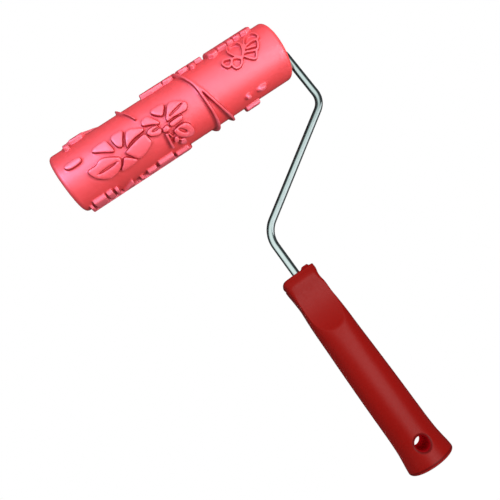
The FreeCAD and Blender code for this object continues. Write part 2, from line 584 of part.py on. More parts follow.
def circle_through(points):
    """Centre and radius of the circle through three (z, y) points."""
    (z0, y0), (z1, y1), (z2, y2) = points
    divisor = 2 * (z0 * (y1 - y2) + z1 * (y2 - y0) + z2 * (y0 - y1))
    sq0, sq1, sq2 = (z ** 2 + y ** 2 for z, y in points)
    z = (sq0 * (y1 - y2) + sq1 * (y2 - y0) + sq2 * (y0 - y1)) / divisor
    y = (sq0 * (z2 - z1) + sq1 * (z0 - z2) + sq2 * (z1 - z0)) / divisor
    return z, y, math.hypot(z0 - z, y0 - y)


def head_nub():
    """Lug on the handle's head, rounded except at its foot."""
    nub = Part.makeBox(NUB_X1 - NUB_X0, 2 * NUB_HALF_DEPTH, NUB_HEIGHT + NUB_ROOT,
                       Vector(HANDLE_X + NUB_X0, -NUB_HALF_DEPTH, HANDLE_TOP - NUB_ROOT))
    return nub.makeFillet(NUB_FILLET, [
        edge for edge in nub.Edges
        if edge.BoundBox.ZMin > HANDLE_TOP + 0.5
        or abs(edge.tangentAt(edge.FirstParameter).z) > 0.9])


def is_hole_mouth(edge):
    """True for an edge round one end of the hanging hole, not one along its wall."""
    if edge.Length < 5.0:
        return False
    first, last = edge.ParameterRange
    points = [edge.valueAt(first + (last - first) * i / 8) for i in range(9)]
    depths = [point.y for point in points]
    on_wall = all(abs(math.hypot(point.x - HANDLE_X, point.z - HANG_Z) - HANG_R) < 0.05
                  for point in points)
    return on_wall and max(depths) - min(depths) < 8.0


def handle_grip(lock):
    grip = Part.makeLoft([handle_section(*station) for station in HANDLE], True, False)
    scoop_z, scoop_y, scoop_r = circle_through(SCOOP)
    for side in (-1, 1):
        grip = grip.cut(Part.makeCylinder(
            scoop_r, CUT_LEN, Vector(HANDLE_X - CUT_LEN / 2, side * scoop_y, scoop_z), AXIS_X))
    grip = grip.fuse(head_nub())
    grip = grip.cut(Part.makeCylinder(
        HANG_R, CUT_LEN, Vector(HANDLE_X, -CUT_LEN / 2, HANG_Z), AXIS_Y))
    grip = grip.makeFillet(HANG_LIP, [edge for edge in grip.Edges if is_hole_mouth(edge)])
    rod_hole = Part.makeCylinder(ROD_R, 80, Vector(HANDLE_X, 0, ROD_END_Z), AXIS_Z)
    return grip.cut(rod_hole.fuse(lock))


# -------------------------------------------------------------------- pieces
save("pattern_sleeve", pattern_sleeve())
save("core_tube", core_tube())
save_pair("cap", end_cap())
save_pair("bush", bush())
save_pair("washer", washer())
save("push_nut", push_nut())
save("hub_cap", hub_cap())
rod_lock = lock_ears()
save("wire_frame", wire_frame(rod_lock))
save("handle_grip", handle_grip(rod_lock))
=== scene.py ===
"""A hand roller: an embossed rubber sleeve on a bent plated rod with a moulded handle.

The sleeve turns about an axis along X. The handle hangs below it along Z, and the slanted leg
of the rod comes back to it from the arm at the sleeve's +X end. The viewer stands on the -Y
side. The shared frame has its origin at the hanging hole near the handle's lower end.
"""
import math

import bmesh
import bpy
import numpy as np
from mathutils import Matrix, Vector
from mathutils.geometry import delaunay_2d_cdt


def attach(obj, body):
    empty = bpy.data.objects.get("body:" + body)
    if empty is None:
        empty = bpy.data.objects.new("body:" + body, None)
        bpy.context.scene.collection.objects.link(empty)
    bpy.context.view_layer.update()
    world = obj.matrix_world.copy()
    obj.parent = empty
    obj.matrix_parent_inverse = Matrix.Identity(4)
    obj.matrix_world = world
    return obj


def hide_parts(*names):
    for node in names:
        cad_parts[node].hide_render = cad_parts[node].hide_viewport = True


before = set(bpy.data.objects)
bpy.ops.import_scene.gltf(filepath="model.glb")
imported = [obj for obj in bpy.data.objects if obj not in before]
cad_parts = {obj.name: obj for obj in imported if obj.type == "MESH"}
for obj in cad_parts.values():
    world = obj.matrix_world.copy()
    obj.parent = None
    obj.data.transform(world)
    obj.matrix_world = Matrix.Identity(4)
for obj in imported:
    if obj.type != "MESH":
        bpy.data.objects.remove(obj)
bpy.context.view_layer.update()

# Layout in millimetres from the middle of the sleeve on its turning axis, carried to the
# shared frame when a mesh is made.
MM = 0.001
HANDLE_X = 5.0
HOLE_Z = -266.8
HOLE_R = 4.2
HOLE_LIP = 1.9                  # radius of the rounded mouth of the hanging hole
SHIFT = np.array([-HANDLE_X, 0.0, -HOLE_Z])

SLEEVE_LEN = 177.0
R_BASE = 22.1                   # sleeve surface between the raised shapes
R_TOP = 25.0                    # tops of the raised shapes
SLEEVE_BORE = 18.0
END_FILLET = 3.4
ROD_R = 2.75


def to_frame(points):
    return (np.asarray(points, float) + SHIFT) * MM


class Shell:
    """Vertices in millimetres and the faces between them."""

    def __init__(self):
        self.verts = []
        self.faces = []

    def ring(self, points):
        """Add the points and return their indices."""
        first = len(self.verts)
        self.verts += [tuple(point) for point in points]
        return list(range(first, len(self.verts)))

    def bridge(self, ring, other):
        """Join two closed rings of equal count with quads."""
        count = len(ring)
        for k in range(count):
            after = (k + 1) % count
            self.faces.append((ring[k], ring[after], other[after], other[k]))

    def grow(self, ring, points):
        """Add a ring joined to the last one, and return it."""
        new = self.ring(points)
        self.bridge(ring, new)
        return new


def make_mesh(name, shell, mat, body, replaces, angle, merge=0.0):
    """A smooth closed object from a shell, sharp above the angle in degrees."""
    mesh = bpy.data.meshes.new(name)
    mesh.from_pydata([tuple(point) for point in to_frame(shell.verts)], [], shell.faces)
    bm = bmesh.new()
    bm.from_mesh(mesh)
    if merge:
        bmesh.ops.remove_doubles(bm, verts=bm.verts, dist=merge * MM)
    bmesh.ops.recalc_face_normals(bm, faces=bm.faces)
    if bm.calc_volume(signed=True) < 0:
        bmesh.ops.reverse_faces(bm, faces=bm.faces)
    bm.to_mesh(mesh)
    bm.free()
    mesh.polygons.foreach_set("use_smooth", [True] * len(mesh.polygons))
    mesh.set_sharp_from_angle(angle=math.radians(angle))
    mesh.update()
    ob = bpy.data.objects.new(name, mesh)
    bpy.context.scene.collection.objects.link(ob)
    mesh.materials.append(mat)
    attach(ob, body)
    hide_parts(replaces)
    return ob


# =============================================================== materials
def put(tree, node, key, value):
    """Link a socket to a node's input, or set the input's value."""
    socket = node.inputs[key]
    if isinstance(value, bpy.types.NodeSocket):
        tree.links.new(value, socket)
    elif socket.type == "RGBA":
        socket.default_value = (*value[:3], 1.0)
    else:
        socket.default_value = value


def add_node(tree, kind, inputs=None, **settings):
    node = tree.nodes.new(kind)
    for key, value in settings.items():
        setattr(node, key, value)
    for key, value in (inputs or {}).items():
        put(tree, node, key, value)
    return node


class NodeNet:
    """A material's node tree. Texture sizes are in millimetres, positions in metres."""

    def __init__(self, name):
        self.mat = bpy.data.materials.new(name)
        self.mat.use_nodes = True
        self.tree = self.mat.node_tree
        self.tree.nodes.clear()
        output = self.node("ShaderNodeOutputMaterial")
        self.bsdf = self.node("ShaderNodeBsdfPrincipled")
        put(self.tree, output, "Surface", self.bsdf.outputs[0])
        self.position = self.node("ShaderNodeTexCoord").outputs["Object"]

    def node(self, kind, inputs=None, **settings):
        return add_node(self.tree, kind, inputs, **settings)

    def axes(self):
        """The X, Y and Z of the position."""
        return self.node("ShaderNodeSeparateXYZ", {0: self.position}).outputs

    def stretched(self, scale=(1, 1, 1), turn=(0, 0, 0)):
        return self.node("ShaderNodeMapping", {"Vector": self.position, "Scale": scale,
                                               "Rotation": turn}).outputs[0]

    def noise(self, size, detail=3.0, rough=0.55, vector=None):
        return self.node("ShaderNodeTexNoise", {
            "Vector": vector or self.position, "Scale": 1000.0 / size,
            "Detail": detail, "Roughness": rough}).outputs[0]

    def spots(self, size, reach):
        """1 at the middle of scattered spots, 0 beyond their reach."""
        cells = self.node("ShaderNodeTexVoronoi", {"Vector": self.position,
                                                   "Scale": 1000.0 / size})
        return self.fade(cells.outputs["Distance"], over=(0.0, reach))

    def math(self, operation, first, second=0.0):
        return self.node("ShaderNodeMath", {0: first, 1: second, 2: 0.0},
                         operation=operation).outputs[0]

    def times(self, first, second):
        return self.math("MULTIPLY", first, second)

    def plus(self, first, second):
        return self.math("ADD", first, second)

    def invert(self, value):
        return self.math("SUBTRACT", 1.0, value)

    def radius(self, first, second):
        """Distance from the axis where both coordinates are zero."""
        return self.math("SQRT", self.plus(self.times(first, first),
                                           self.times(second, second)))

    def stack(self, *layers):
        """Sum of (height, weight) layers."""
        total = self.times(*layers[0])
        for layer in layers[1:]:
            total = self.plus(total, self.times(*layer))
        return total

    def span(self, value, over, to=(0.0, 1.0)):
        """The value's range `over` carried to the range `to`, clamped."""
        return self.node("ShaderNodeMapRange", {
            "Value": value, "From Min": over[0], "From Max": over[1],
            "To Min": to[0], "To Max": to[1]}, clamp=True).outputs[0]

    def fade(self, value, over):
        """1 below the range, 0 above it."""
        return self.span(value, over, to=(1.0, 0.0))

    def band(self, value, rise, fall):
        """0 to 1 over the first range and back to 0 over the second."""
        return self.times(self.span(value, rise), self.fade(value, fall))

    def mix(self, factor, first, second):
        return self.node("ShaderNodeMix", {0: factor, 6: first, 7: second},
                         data_type="RGBA").outputs[2]

    def tint(self, color, mask, strength, tone):
        return self.mix(self.times(mask, strength), color, tone)

    def bump(self, height, depth, strength):
        return self.node("ShaderNodeBump", {"Height": height, "Distance": depth * MM,
                                            "Strength": strength}).outputs[0]

    def rim(self, over):
        """1 where the surface turns away from the viewer."""
        weight = self.node("ShaderNodeLayerWeight", {"Blend": 0.5})
        return self.span(weight.outputs["Facing"], over)

    def edges(self, over):
        """1 on convex edges."""
        return self.span(self.node("ShaderNodeNewGeometry").outputs["Pointiness"], over)

    def finish(self, **inputs):
        for key, value in inputs.items():
            put(self.tree, self.bsdf, key.replace("_", " "), value)
        return self.mat


def rubber_material():
    net = NodeNet("coral_rubber")
    cloud = net.noise(size=26.0, rough=0.6)
    fine = net.noise(size=2.4, detail=4.0, rough=0.6)
    grain = net.noise(size=0.28, rough=0.6)
    color = net.mix(net.span(cloud, over=(0.35, 0.65)),
                    (0.97, 0.050, 0.042), (0.93, 0.045, 0.038))
    color = net.mix(net.span(fine, over=(0.40, 0.75), to=(0.0, 0.35)), color,
                    (0.98, 0.072, 0.068))
    # rubbed edges look a little paler
    color = net.tint(color, net.edges(over=(0.52, 0.62)), strength=0.30,
                     tone=(0.98, 0.13, 0.15))

    # height above the sleeve's axis, and distance from it
    x, y, z = net.axes()
    height = net.math("SUBTRACT", z, -HOLE_Z * MM)
    radius = net.radius(y, height)
    # where the surface turns away from the sleeve's radius: the walls of the relief
    radial = net.node("ShaderNodeCombineXYZ", {1: y, 2: height})
    outward = net.node("ShaderNodeVectorMath", {0: radial.outputs[0]}, operation="NORMALIZE")
    normal = net.node("ShaderNodeTexCoord").outputs["Normal"]
    facing = net.node("ShaderNodeVectorMath", {0: outward.outputs[0], 1: normal},
                      operation="DOT_PRODUCT")
    steep = net.fade(facing.outputs["Value"], over=(0.35, 0.62))
    painted_wall_shade = net.band(radius, rise=(0.02216, 0.0225), fall=(0.0244, 0.02485))
    painted_wall_shade = net.times(painted_wall_shade, steep)
    # the blocks over the top of the sleeve get no painted wall shade
    painted_wall_shade = net.times(painted_wall_shade, net.fade(height, over=(0.0085, 0.0115)))
    # the painted shade is weaker towards the +X end and along the underside
    soft = net.span(x, over=(0.028, 0.044), to=(1.0, 0.55))
    under = net.fade(height, over=(-0.0235, -0.0205))
    soft = net.times(soft, net.invert(net.times(under, 0.5)))
    painted_wall_shade = net.times(painted_wall_shade, soft)

    # painted shade: darker colour in the grooves, from ambient occlusion, and on the walls
    occlusion = net.node("ShaderNodeAmbientOcclusion", {"Distance": 0.0030},
                         samples=8, only_local=True)
    painted_groove_shade = net.times(net.fade(occlusion.outputs["AO"], over=(0.48, 0.94)), soft)
    color = net.tint(color, painted_groove_shade, strength=0.76, tone=(0.42, 0.006, 0.008))
    color = net.tint(color, painted_wall_shade, strength=0.62, tone=(0.44, 0.008, 0.010))
    color = net.tint(color, net.spots(size=3.1, reach=0.10), strength=0.15,
                     tone=(0.98, 0.25, 0.24))

    # painted sheen: tops of the relief are paler, most of all on the upper part near the free end
    # (-X)
    clear = net.invert(painted_groove_shade)
    top = net.times(net.span(radius, over=(0.02450, 0.02480)), clear)
    end_sheen_mask = net.times(net.fade(x, over=(-0.058, -0.036)),
                         net.span(height, over=(-0.0120, -0.0020)))
    end_sheen_gain, top_sheen_gain = 0.42, 0.14
    painted_top_sheen = net.plus(net.times(end_sheen_mask, end_sheen_gain), top_sheen_gain)
    color = net.mix(net.times(top, painted_top_sheen), color, (1.0, 0.170, 0.240))
    # painted highlight: pale bloom on the walls of the blocks over the top
    painted_wall_highlight = net.times(net.times(steep, net.span(radius, over=(0.0224, 0.0230))),
                      net.span(height, over=(0.0100, 0.0125)))
    color = net.tint(color, painted_wall_highlight, strength=0.55, tone=(0.98, 0.19, 0.22))
    # painted highlight: paler relief along the underside
    painted_underside_highlight = net.times(net.times(under, net.span(radius, over=(0.0226, 0.0234))),
                     net.invert(painted_groove_shade))
    color = net.tint(color, painted_underside_highlight, strength=0.42, tone=(1.0, 0.19, 0.25))
    # painted shade where the surface turns away from the viewer
    painted_rim_shade = net.rim(over=(0.74, 0.97))
    color = net.tint(color, painted_rim_shade, strength=0.65, tone=(0.16, 0.006, 0.006))

    rough = net.plus(net.span(fine, over=(0.3, 0.7), to=(0.48, 0.58)),
                     net.span(grain, over=(0.3, 0.7), to=(-0.03, 0.03)))
    groove_dulling = 0.6
    level = net.times(net.invert(net.times(painted_groove_shade, groove_dulling)), net.invert(painted_rim_shade))
    skin = net.stack((grain, 0.5), (net.noise(size=1.1, detail=4.0), 1.0),
                     (net.noise(size=9.0, detail=2.0), 2.2))
    return net.finish(Base_Color=color, Roughness=rough,
                      Normal=net.bump(skin, depth=0.045, strength=0.7),
                      IOR=1.80, Specular_IOR_Level=level, Specular_Tint=(1.0, 0.66, 0.84))


def handle_material():
    net = NodeNet("dark_red_moulding")
    cloud = net.noise(size=32.0, vector=net.stretched((1, 1, 0.45)))
    fine = net.noise(size=1.6, detail=4.0, rough=0.6)
    spark = net.noise(size=0.22, detail=2.0, rough=0.5)
    color = net.mix(net.span(cloud, over=(0.35, 0.65)),
                    (0.405, 0.0022, 0.0002), (0.365, 0.0019, 0.0002))
    color = net.mix(net.span(fine, over=(0.42, 0.75), to=(0.0, 0.30)), color,
                    (0.42, 0.0045, 0.0006))
    color = net.tint(color, net.edges(over=(0.53, 0.64)), strength=0.15,
                     tone=(0.45, 0.018, 0.010))
    # long scuffs down the handle
    scuff = net.noise(size=7.0, detail=5.0, rough=0.65,
                      vector=net.stretched((1.6, 1.6, 0.35), turn=(0.2, 0.5, 0.1)))
    scuff = net.span(scuff, over=(0.60, 0.72))
    scuff_roughness = 0.08
    rough = net.plus(net.span(fine, over=(0.3, 0.7), to=(0.36, 0.44)),
                     net.times(scuff, scuff_roughness))
    color = net.tint(color, scuff, strength=0.10, tone=(0.38, 0.020, 0.012))

    # painted shade: the mouth of the hanging hole is darker than the polished outside, and the
    # bore within is painted a brighter red as painted light
    x, _, z = net.axes()
    from_hole = net.radius(x, z)
    painted_mouth_shade = net.fade(from_hole, over=((HOLE_R + 1.3) * MM, (HOLE_R + 2.0) * MM))
    bore_painted_light_mask = net.fade(from_hole, over=((HOLE_R + 0.1) * MM, (HOLE_R + 0.7) * MM))
    color = net.tint(color, painted_mouth_shade, strength=0.80, tone=(0.175, 0.0018, 0.0035))
    color = net.tint(color, bore_painted_light_mask, strength=0.85, tone=(0.60, 0.0040, 0.0120))
    # parting line just above the rounded butt, and a painted highlight on the rounding below it
    line = net.band(z, rise=(-0.0131, -0.0126), fall=(-0.0123, -0.0117))
    color = net.tint(color, line, strength=0.72, tone=(0.12, 0.0015, 0.0025))
    butt_painted_highlight = net.band(z, rise=(-0.0142, -0.0138), fall=(-0.0135, -0.0130))
    color = net.tint(color, butt_painted_highlight, strength=0.50, tone=(0.52, 0.040, 0.045))
    # painted shade where the surface turns away from the viewer, kept out of the bore
    painted_rim_shade = net.times(net.rim(over=(0.66, 0.97)), net.invert(bore_painted_light_mask))
    color = net.tint(color, painted_rim_shade, strength=0.62, tone=(0.045, 0.0016, 0.0012))

    shine = 0.42
    level = net.times(net.times(net.invert(bore_painted_light_mask), shine), net.invert(painted_rim_shade))
    skin = net.stack((spark, 0.6), (net.noise(size=0.9), 0.5),
                     (net.noise(size=12.0, detail=2.0), 2.0))
    return net.finish(Base_Color=color, Roughness=rough,
                      Normal=net.bump(skin, depth=0.035, strength=0.6), IOR=1.49,
                      Specular_IOR_Level=level, Specular_Tint=(0.72, 0.54, 0.50))


def rod_material():
    net = NodeNet("bright_plated_rod")
    grain = net.noise(size=0.5, rough=0.6, vector=net.stretched())
    cloud = net.noise(size=14.0, detail=4.0, rough=0.6)
    color = net.mix(net.span(cloud, over=(0.35, 0.7)), (0.84, 0.93, 0.915), (0.76, 0.85, 0.84))
    pits = net.spots(size=2.2, reach=0.08)
    color = net.tint(color, pits, strength=0.35, tone=(0.42, 0.44, 0.43))
    pit_roughness = 0.15
    rough = net.plus(net.span(cloud, over=(0.3, 0.7), to=(0.13, 0.20)),
                     net.times(pits, pit_roughness))
    skin = net.stack((grain, 0.5), (net.noise(size=4.0), 1.0))
    return net.finish(Base_Color=color, Metallic=1.0, Roughness=rough,
                      Normal=net.bump(skin, depth=0.02, strength=0.5))


def steel_material(name, tone, roughness):
    net = NodeNet(name)
    cloud = net.noise(size=5.0, detail=4.0, rough=0.6)
    fine = net.noise(size=0.35, rough=0.6)
    color = net.mix(net.span(cloud, over=(0.35, 0.7)), tone, [0.8 * part for part in tone])
    rough = net.span(fine, over=(0.3, 0.7), to=(roughness - 0.05, roughness + 0.08))
    return net.finish(Base_Color=color, Metallic=1.0, Roughness=rough,
                      Normal=net.bump(fine, depth=0.02, strength=0.5))


def plastic_material(name, light, deep, roughness):
    net = NodeNet(name)
    cloud = net.noise(size=12.0, rough=0.6)
    fine = net.noise(size=0.35, rough=0.6)
    middle = net.noise(size=1.8, detail=4.0, rough=0.6)
    color = net.mix(net.span(cloud, over=(0.35, 0.65)), light, deep)
    color = net.tint(color, net.edges(over=(0.53, 0.64)), strength=0.3,
                     tone=[1.15 * part for part in light])
    dirt = net.span(middle, over=(0.58, 0.80), to=(0.0, 0.25))
    color = net.mix(dirt, color, [0.72 * part for part in deep])
    rough = net.span(middle, over=(0.3, 0.7), to=(roughness - 0.05, roughness + 0.07))
    return net.finish(Base_Color=color, Roughness=rough,
                      Normal=net.bump(fine, depth=0.03, strength=0.5), IOR=1.5)


RUBBER = rubber_material()
HANDLE = handle_material()
ROD = rod_material()
WASHER = steel_material("zinc_washer_steel", tone=(0.58, 0.59, 0.60), roughness=0.30)
SPRING = steel_material("blued_spring_steel", tone=(0.20, 0.21, 0.24), roughness=0.34)
CAP = plastic_material("natural_white_plastic", light=(0.74, 0.73, 0.69),
                       deep=(0.68, 0.67, 0.62), roughness=0.42)
CORE = plastic_material("extruded_core_plastic", light=(0.66, 0.66, 0.64),
                        deep=(0.60, 0.60, 0.58), roughness=0.36)
NYLON = plastic_material("natural_nylon", light=(0.78, 0.73, 0.58),
                         deep=(0.72, 0.66, 0.50), roughness=0.33)

# ========================================================== raised pattern
# Outlines are (x, s) points on the unrolled sleeve: x along the axis, s around it in mm at
# R_TOP. s = 0 faces -Y and s grows towards the handle (-Z). Slots are cut into the pads.
FLOWER_A_PADS = [
    [(-60.2, 1.6), (-58.0, 0.2), (-52.0, -0.4), (-48.9, 0.0), (-48.1, 4.0), (-47.4, 8.8),
     (-48.8, 9.6), (-54.0, 6.4), (-59.0, 3.4)],
    [(-45.4, 1.2), (-43.4, -0.5), (-38.0, -0.4), (-36.0, 1.2), (-38.6, 5.4), (-41.9, 9.9),
     (-44.5, 8.6), (-45.5, 4.2)],
    [(-39.9, 12.5), (-38.0, 7.8), (-35.4, 3.8), (-33.4, 2.4), (-30.6, 2.9), (-26.8, 5.0),
     (-23.6, 7.2), (-24.2, 8.7), (-27.5, 9.2), (-32.5, 9.6), (-37.0, 11.0)],
    [(-42.2, 14.6), (-38.4, 13.1), (-33.0, 11.7), (-27.5, 10.8), (-24.9, 10.8), (-24.3, 13.2),
     (-23.5, 17.2), (-24.4, 18.6), (-26.8, 20.4), (-30.0, 22.1), (-34.0, 23.2), (-37.0, 22.9),
     (-40.0, 19.0)],
    [(-51.0, 23.2), (-47.5, 19.6), (-45.5, 17.0), (-43.5, 17.2), (-40.0, 20.6), (-38.0, 23.2),
     (-40.0, 24.3), (-45.0, 24.7), (-50.0, 24.5)],
    [(-69.9, 12.9), (-69.0, 11.0), (-63.2, 10.9), (-59.8, 9.1), (-56.0, 9.5), (-50.6, 12.4),
     (-47.2, 15.0), (-47.8, 17.9), (-50.8, 21.5), (-55.0, 23.5), (-60.2, 23.7), (-65.0, 20.9),
     (-68.4, 17.0)],
]
FLOWER_A_SLOTS = [
    [(-65.6, 16.7), (-61.0, 16.0), (-55.0, 16.0), (-49.6, 16.6), (-55.0, 17.4), (-61.0, 17.4)],
]
FLOWER_B_PADS = [
    [(-14.0, 1.4), (-12.2, -0.5), (-8.4, -0.9), (-4.8, -0.4), (-3.4, 1.1), (-5.2, 4.0),
     (-8.0, 7.0), (-9.6, 6.8), (-12.4, 4.1)],
    [(-23.4, 4.6), (-22.0, 2.2), (-18.8, 1.4), (-16.4, 2.4), (-14.8, 5.4), (-12.8, 8.4),
     (-12.5, 10.4), (-14.2, 10.5), (-17.0, 8.7), (-20.4, 7.2), (-22.8, 6.2)],
    [(-5.6, 7.5), (-2.4, 3.4), (0.4, 1.8), (3.4, 2.9), (7.8, 5.8), (9.9, 8.2), (9.2, 10.6),
     (7.0, 12.6), (2.0, 12.4), (-3.0, 11.9), (-7.8, 12.2), (-7.4, 9.8)],
    [(-7.8, 14.9), (-6.6, 13.7), (-2.0, 13.4), (2.2, 13.5), (3.0, 14.2), (1.8, 16.2),
     (-2.0, 16.8), (-6.6, 16.9)],
    [(-13.8, 16.6), (-12.8, 14.6), (-9.6, 13.8), (-8.6, 15.4), (-9.0, 17.5), (-12.2, 17.8)],
    [(-23.6, 11.6), (-21.4, 9.9), (-18.0, 9.7), (-15.2, 10.7), (-14.0, 13.0), (-14.4, 15.4),
     (-16.4, 16.9), (-19.8, 16.0), (-22.6, 14.2)],
]
FLOWER_B_SLOTS = [
    [(-4.6, 9.4), (1.2, 7.8), (8.4, 6.5), (4.4, 8.4), (-0.6, 9.6), (-4.2, 10.2)],
    [(-20.6, 12.4), (-18.0, 11.7), (-15.0, 11.8), (-13.0, 12.5), (-15.0, 13.0), (-18.0, 13.2)],
]
LEAF_PADS = [
    [(-7.4, 20.2), (-5.4, 19.3), (-2.0, 18.9), (1.8, 19.2), (4.2, 21.6), (5.2, 26.0),
     (4.6, 29.4), (2.0, 31.0), (-1.4, 29.9), (-4.6, 27.4), (-7.0, 24.2)],
    [(-10.8, 27.5), (-9.5, 24.8), (-7.8, 24.2), (-6.8, 26.0), (-7.6, 28.4), (-9.6, 28.8)],
    [(-7.6, 31.2), (-4.6, 28.9), (-3.0, 29.7), (-3.0, 33.0), (-4.4, 34.4), (-6.4, 33.2)],
]
LEAF_SLOTS = [
    [(-4.0, 20.4), (-2.0, 21.2), (-0.3, 23.6), (0.6, 26.4), (-1.4, 25.4), (-3.2, 23.0)],
]
# Stamps: the point they turn about, pads, slots
FLOWER_A = ((-44.5, 13.5), FLOWER_A_PADS, FLOWER_A_SLOTS)
FLOWER_B = ((-11.0, 12.3), FLOWER_B_PADS, FLOWER_B_SLOTS)
LEAF = ((-2.0, 24.0), LEAF_PADS, LEAF_SLOTS)
LONE_PADS = [
    [(-81.0, 0.6), (-78.0, -0.6), (-70.2, -0.6), (-68.4, 1.4), (-70.0, 3.5), (-76.0, 4.0),
     (-79.6, 3.1)],
    [(-79.0, -38.5), (-75.0, -34.0), (-71.0, -30.0), (-66.0, -28.2), (-60.0, -28.6),
     (-55.0, -33.0), (-50.0, -36.0), (-46.0, -39.5), (-52.0, -44.0), (-62.0, -46.0),
     (-72.0, -44.0)],
]
# Small domes
DOMES = [
    [(47.6, 31.4), (48.6, 29.2), (50.6, 28.5), (52.2, 29.4), (52.6, 31.4), (51.4, 33.4),
     (49.0, 33.4)],
    [(57.0, 31.0), (58.6, 29.0), (61.6, 28.4), (64.6, 29.0), (65.7, 30.9), (64.4, 33.0),
     (61.4, 33.6), (58.4, 33.2)],
]
# Flat blocks with straight edges, most of them over the top of the sleeve
BLOCKS = [
    [(-75.4, -19.2), (-71.2, -19.6), (-71.0, -15.0), (-73.0, -13.6), (-75.2, -14.8)],
    [(-70.5, -20.5), (-66.0, -19.2), (-60.5, -19.5), (-58.5, -22.4), (-58.8, -25.8),
     (-69.4, -25.6)],
    [(-13.0, -20.2), (-4.4, -19.2), (4.6, -19.6), (4.8, -26.0), (3.4, -33.6), (-12.6, -33.0)],
    [(5.4, -19.8), (9.6, -18.8), (13.5, -20.2), (12.6, -26.0), (11.4, -34.0), (5.0, -33.6)],
    [(18.5, -20.6), (22.0, -19.4), (26.0, -20.2), (26.0, -34.0), (17.0, -33.8)],
    [(26.7, -17.4), (28.8, -15.4), (31.2, -17.6), (31.4, -33.0), (26.8, -33.4)],
    [(32.1, -21.4), (37.6, -20.8), (38.2, -27.0), (37.0, -34.4), (32.2, -34.0)],
    [(41.0, -15.6), (44.2, -12.6), (48.6, -14.4), (48.8, -24.0), (47.4, -33.8), (41.4, -33.0)],
    [(49.5, -15.8), (56.6, -15.0), (56.8, -24.0), (55.8, -34.2), (49.2, -34.0)],
    [(57.5, -16.4), (62.0, -16.0), (62.2, -34.0), (57.4, -34.4)],
    [(62.9, -17.6), (65.6, -16.0), (68.4, -17.2), (68.4, -33.0), (63.0, -33.6)],
    [(69.2, -17.6), (73.4, -16.2), (77.5, -18.6), (76.4, -26.0), (76.0, -33.8), (69.2, -33.6)],
    [(46.6, 43.4), (52.0, 42.6), (57.9, 42.8), (57.4, 55.6), (47.2, 56.0)],
    [(-84.0, 47.0), (-70.0, 46.6), (-57.0, 47.8), (-43.0, 46.8), (-28.0, 47.2), (-14.0, 48.6),
     (-2.4, 51.4), (0.4, 55.0), (-2.6, 61.0), (-16.0, 60.0), (-30.0, 62.0), (-46.0, 60.4),
     (-60.0, 62.2), (-83.4, 61.0)],
    [(-12.8, -26.4), (15.4, -26.4), (15.0, -35.0), (-12.2, -34.4)],
    [(17.4, -26.4), (38.0, -26.4), (37.4, -35.4), (17.2, -34.6)],
    [(40.8, -26.4), (76.8, -26.4), (75.8, -34.8), (41.0, -35.2)],
]
# Blocks with one sloping side; the first two points are the foot of the slope
SLOPE_RUN = 2.6
SLOPED = [
    [(-83.4, 36.2), (-81.0, 36.2), (-80.8, 46.0), (-83.2, 46.0)],
    [(-79.7, 33.0), (-70.0, 32.8), (-69.9, 43.4), (-74.0, 45.4), (-79.4, 44.8)],
    [(-68.8, 33.0), (-64.3, 32.8), (-64.2, 43.6), (-68.6, 44.8)],
    [(-62.6, 34.4), (-60.0, 34.0), (-60.2, 45.4), (-62.8, 45.0)],
    [(-58.9, 45.0), (-49.0, 36.8), (-48.8, 45.0), (-53.0, 47.0), (-58.0, 46.8)],
    [(-43.6, 40.6), (-41.0, 40.4), (-40.8, 46.2), (-43.4, 46.6)],
    [(-37.2, 38.2), (-29.8, 38.2), (-29.6, 44.6), (-33.0, 46.2), (-37.0, 45.4)],
    [(-27.7, 36.3), (-15.3, 36.1), (-15.5, 45.0), (-20.0, 47.2), (-27.4, 45.8)],
    [(-13.6, 39.8), (-4.2, 39.6), (-1.6, 45.4), (-2.4, 49.6), (-8.0, 50.8), (-13.4, 50.0)],
]
# Flower drawn with raised lines, and where it is repeated: place, degrees, scale
LINE_FLOWER_ORIGIN = (59.2, 0.6)
LINE_FLOWER = [
    [(57.8, 3.6), (55.4, 1.2), (53.2, 0.2), (51.2, 1.2), (50.2, 3.4), (50.2, 5.8), (51.6, 7.6),
     (54.0, 7.6), (56.4, 6.2), (57.8, 3.6)],
    [(49.8, 2.6), (47.6, 3.8), (45.8, 2.6), (44.9, -0.6), (46.6, -2.6), (50.0, -1.6),
     (52.0, 0.2), (49.8, 2.6)],
    [(58.6, 3.2), (55.6, -0.2), (53.8, -3.4), (53.2, -7.0), (54.6, -10.4), (58.4, -11.8),
     (62.0, -10.2), (63.4, -6.6), (62.6, -3.0), (61.0, 0.4), (58.6, 3.2)],
    [(61.2, 1.2), (63.0, -1.4), (66.4, -3.0), (70.6, -3.6), (73.8, -2.4), (73.0, 0.8),
     (70.6, 4.0), (66.6, 3.0), (63.4, 1.6), (61.2, 1.2)],
    [(64.6, -0.6), (67.6, 0.2), (70.2, 1.2)],
    [(60.4, 3.6), (62.8, 6.6), (65.2, 8.8), (67.0, 8.2), (68.6, 5.6), (70.2, 4.2)],
    [(64.4, -3.4), (66.4, -7.4), (70.2, -10.6), (74.2, -10.4), (76.4, -6.6), (76.0, -3.2),
     (73.8, -2.4)],
]
LINE_FLOWER_REPEAT = ((-66.0, 103.0), 170.0, 0.85)
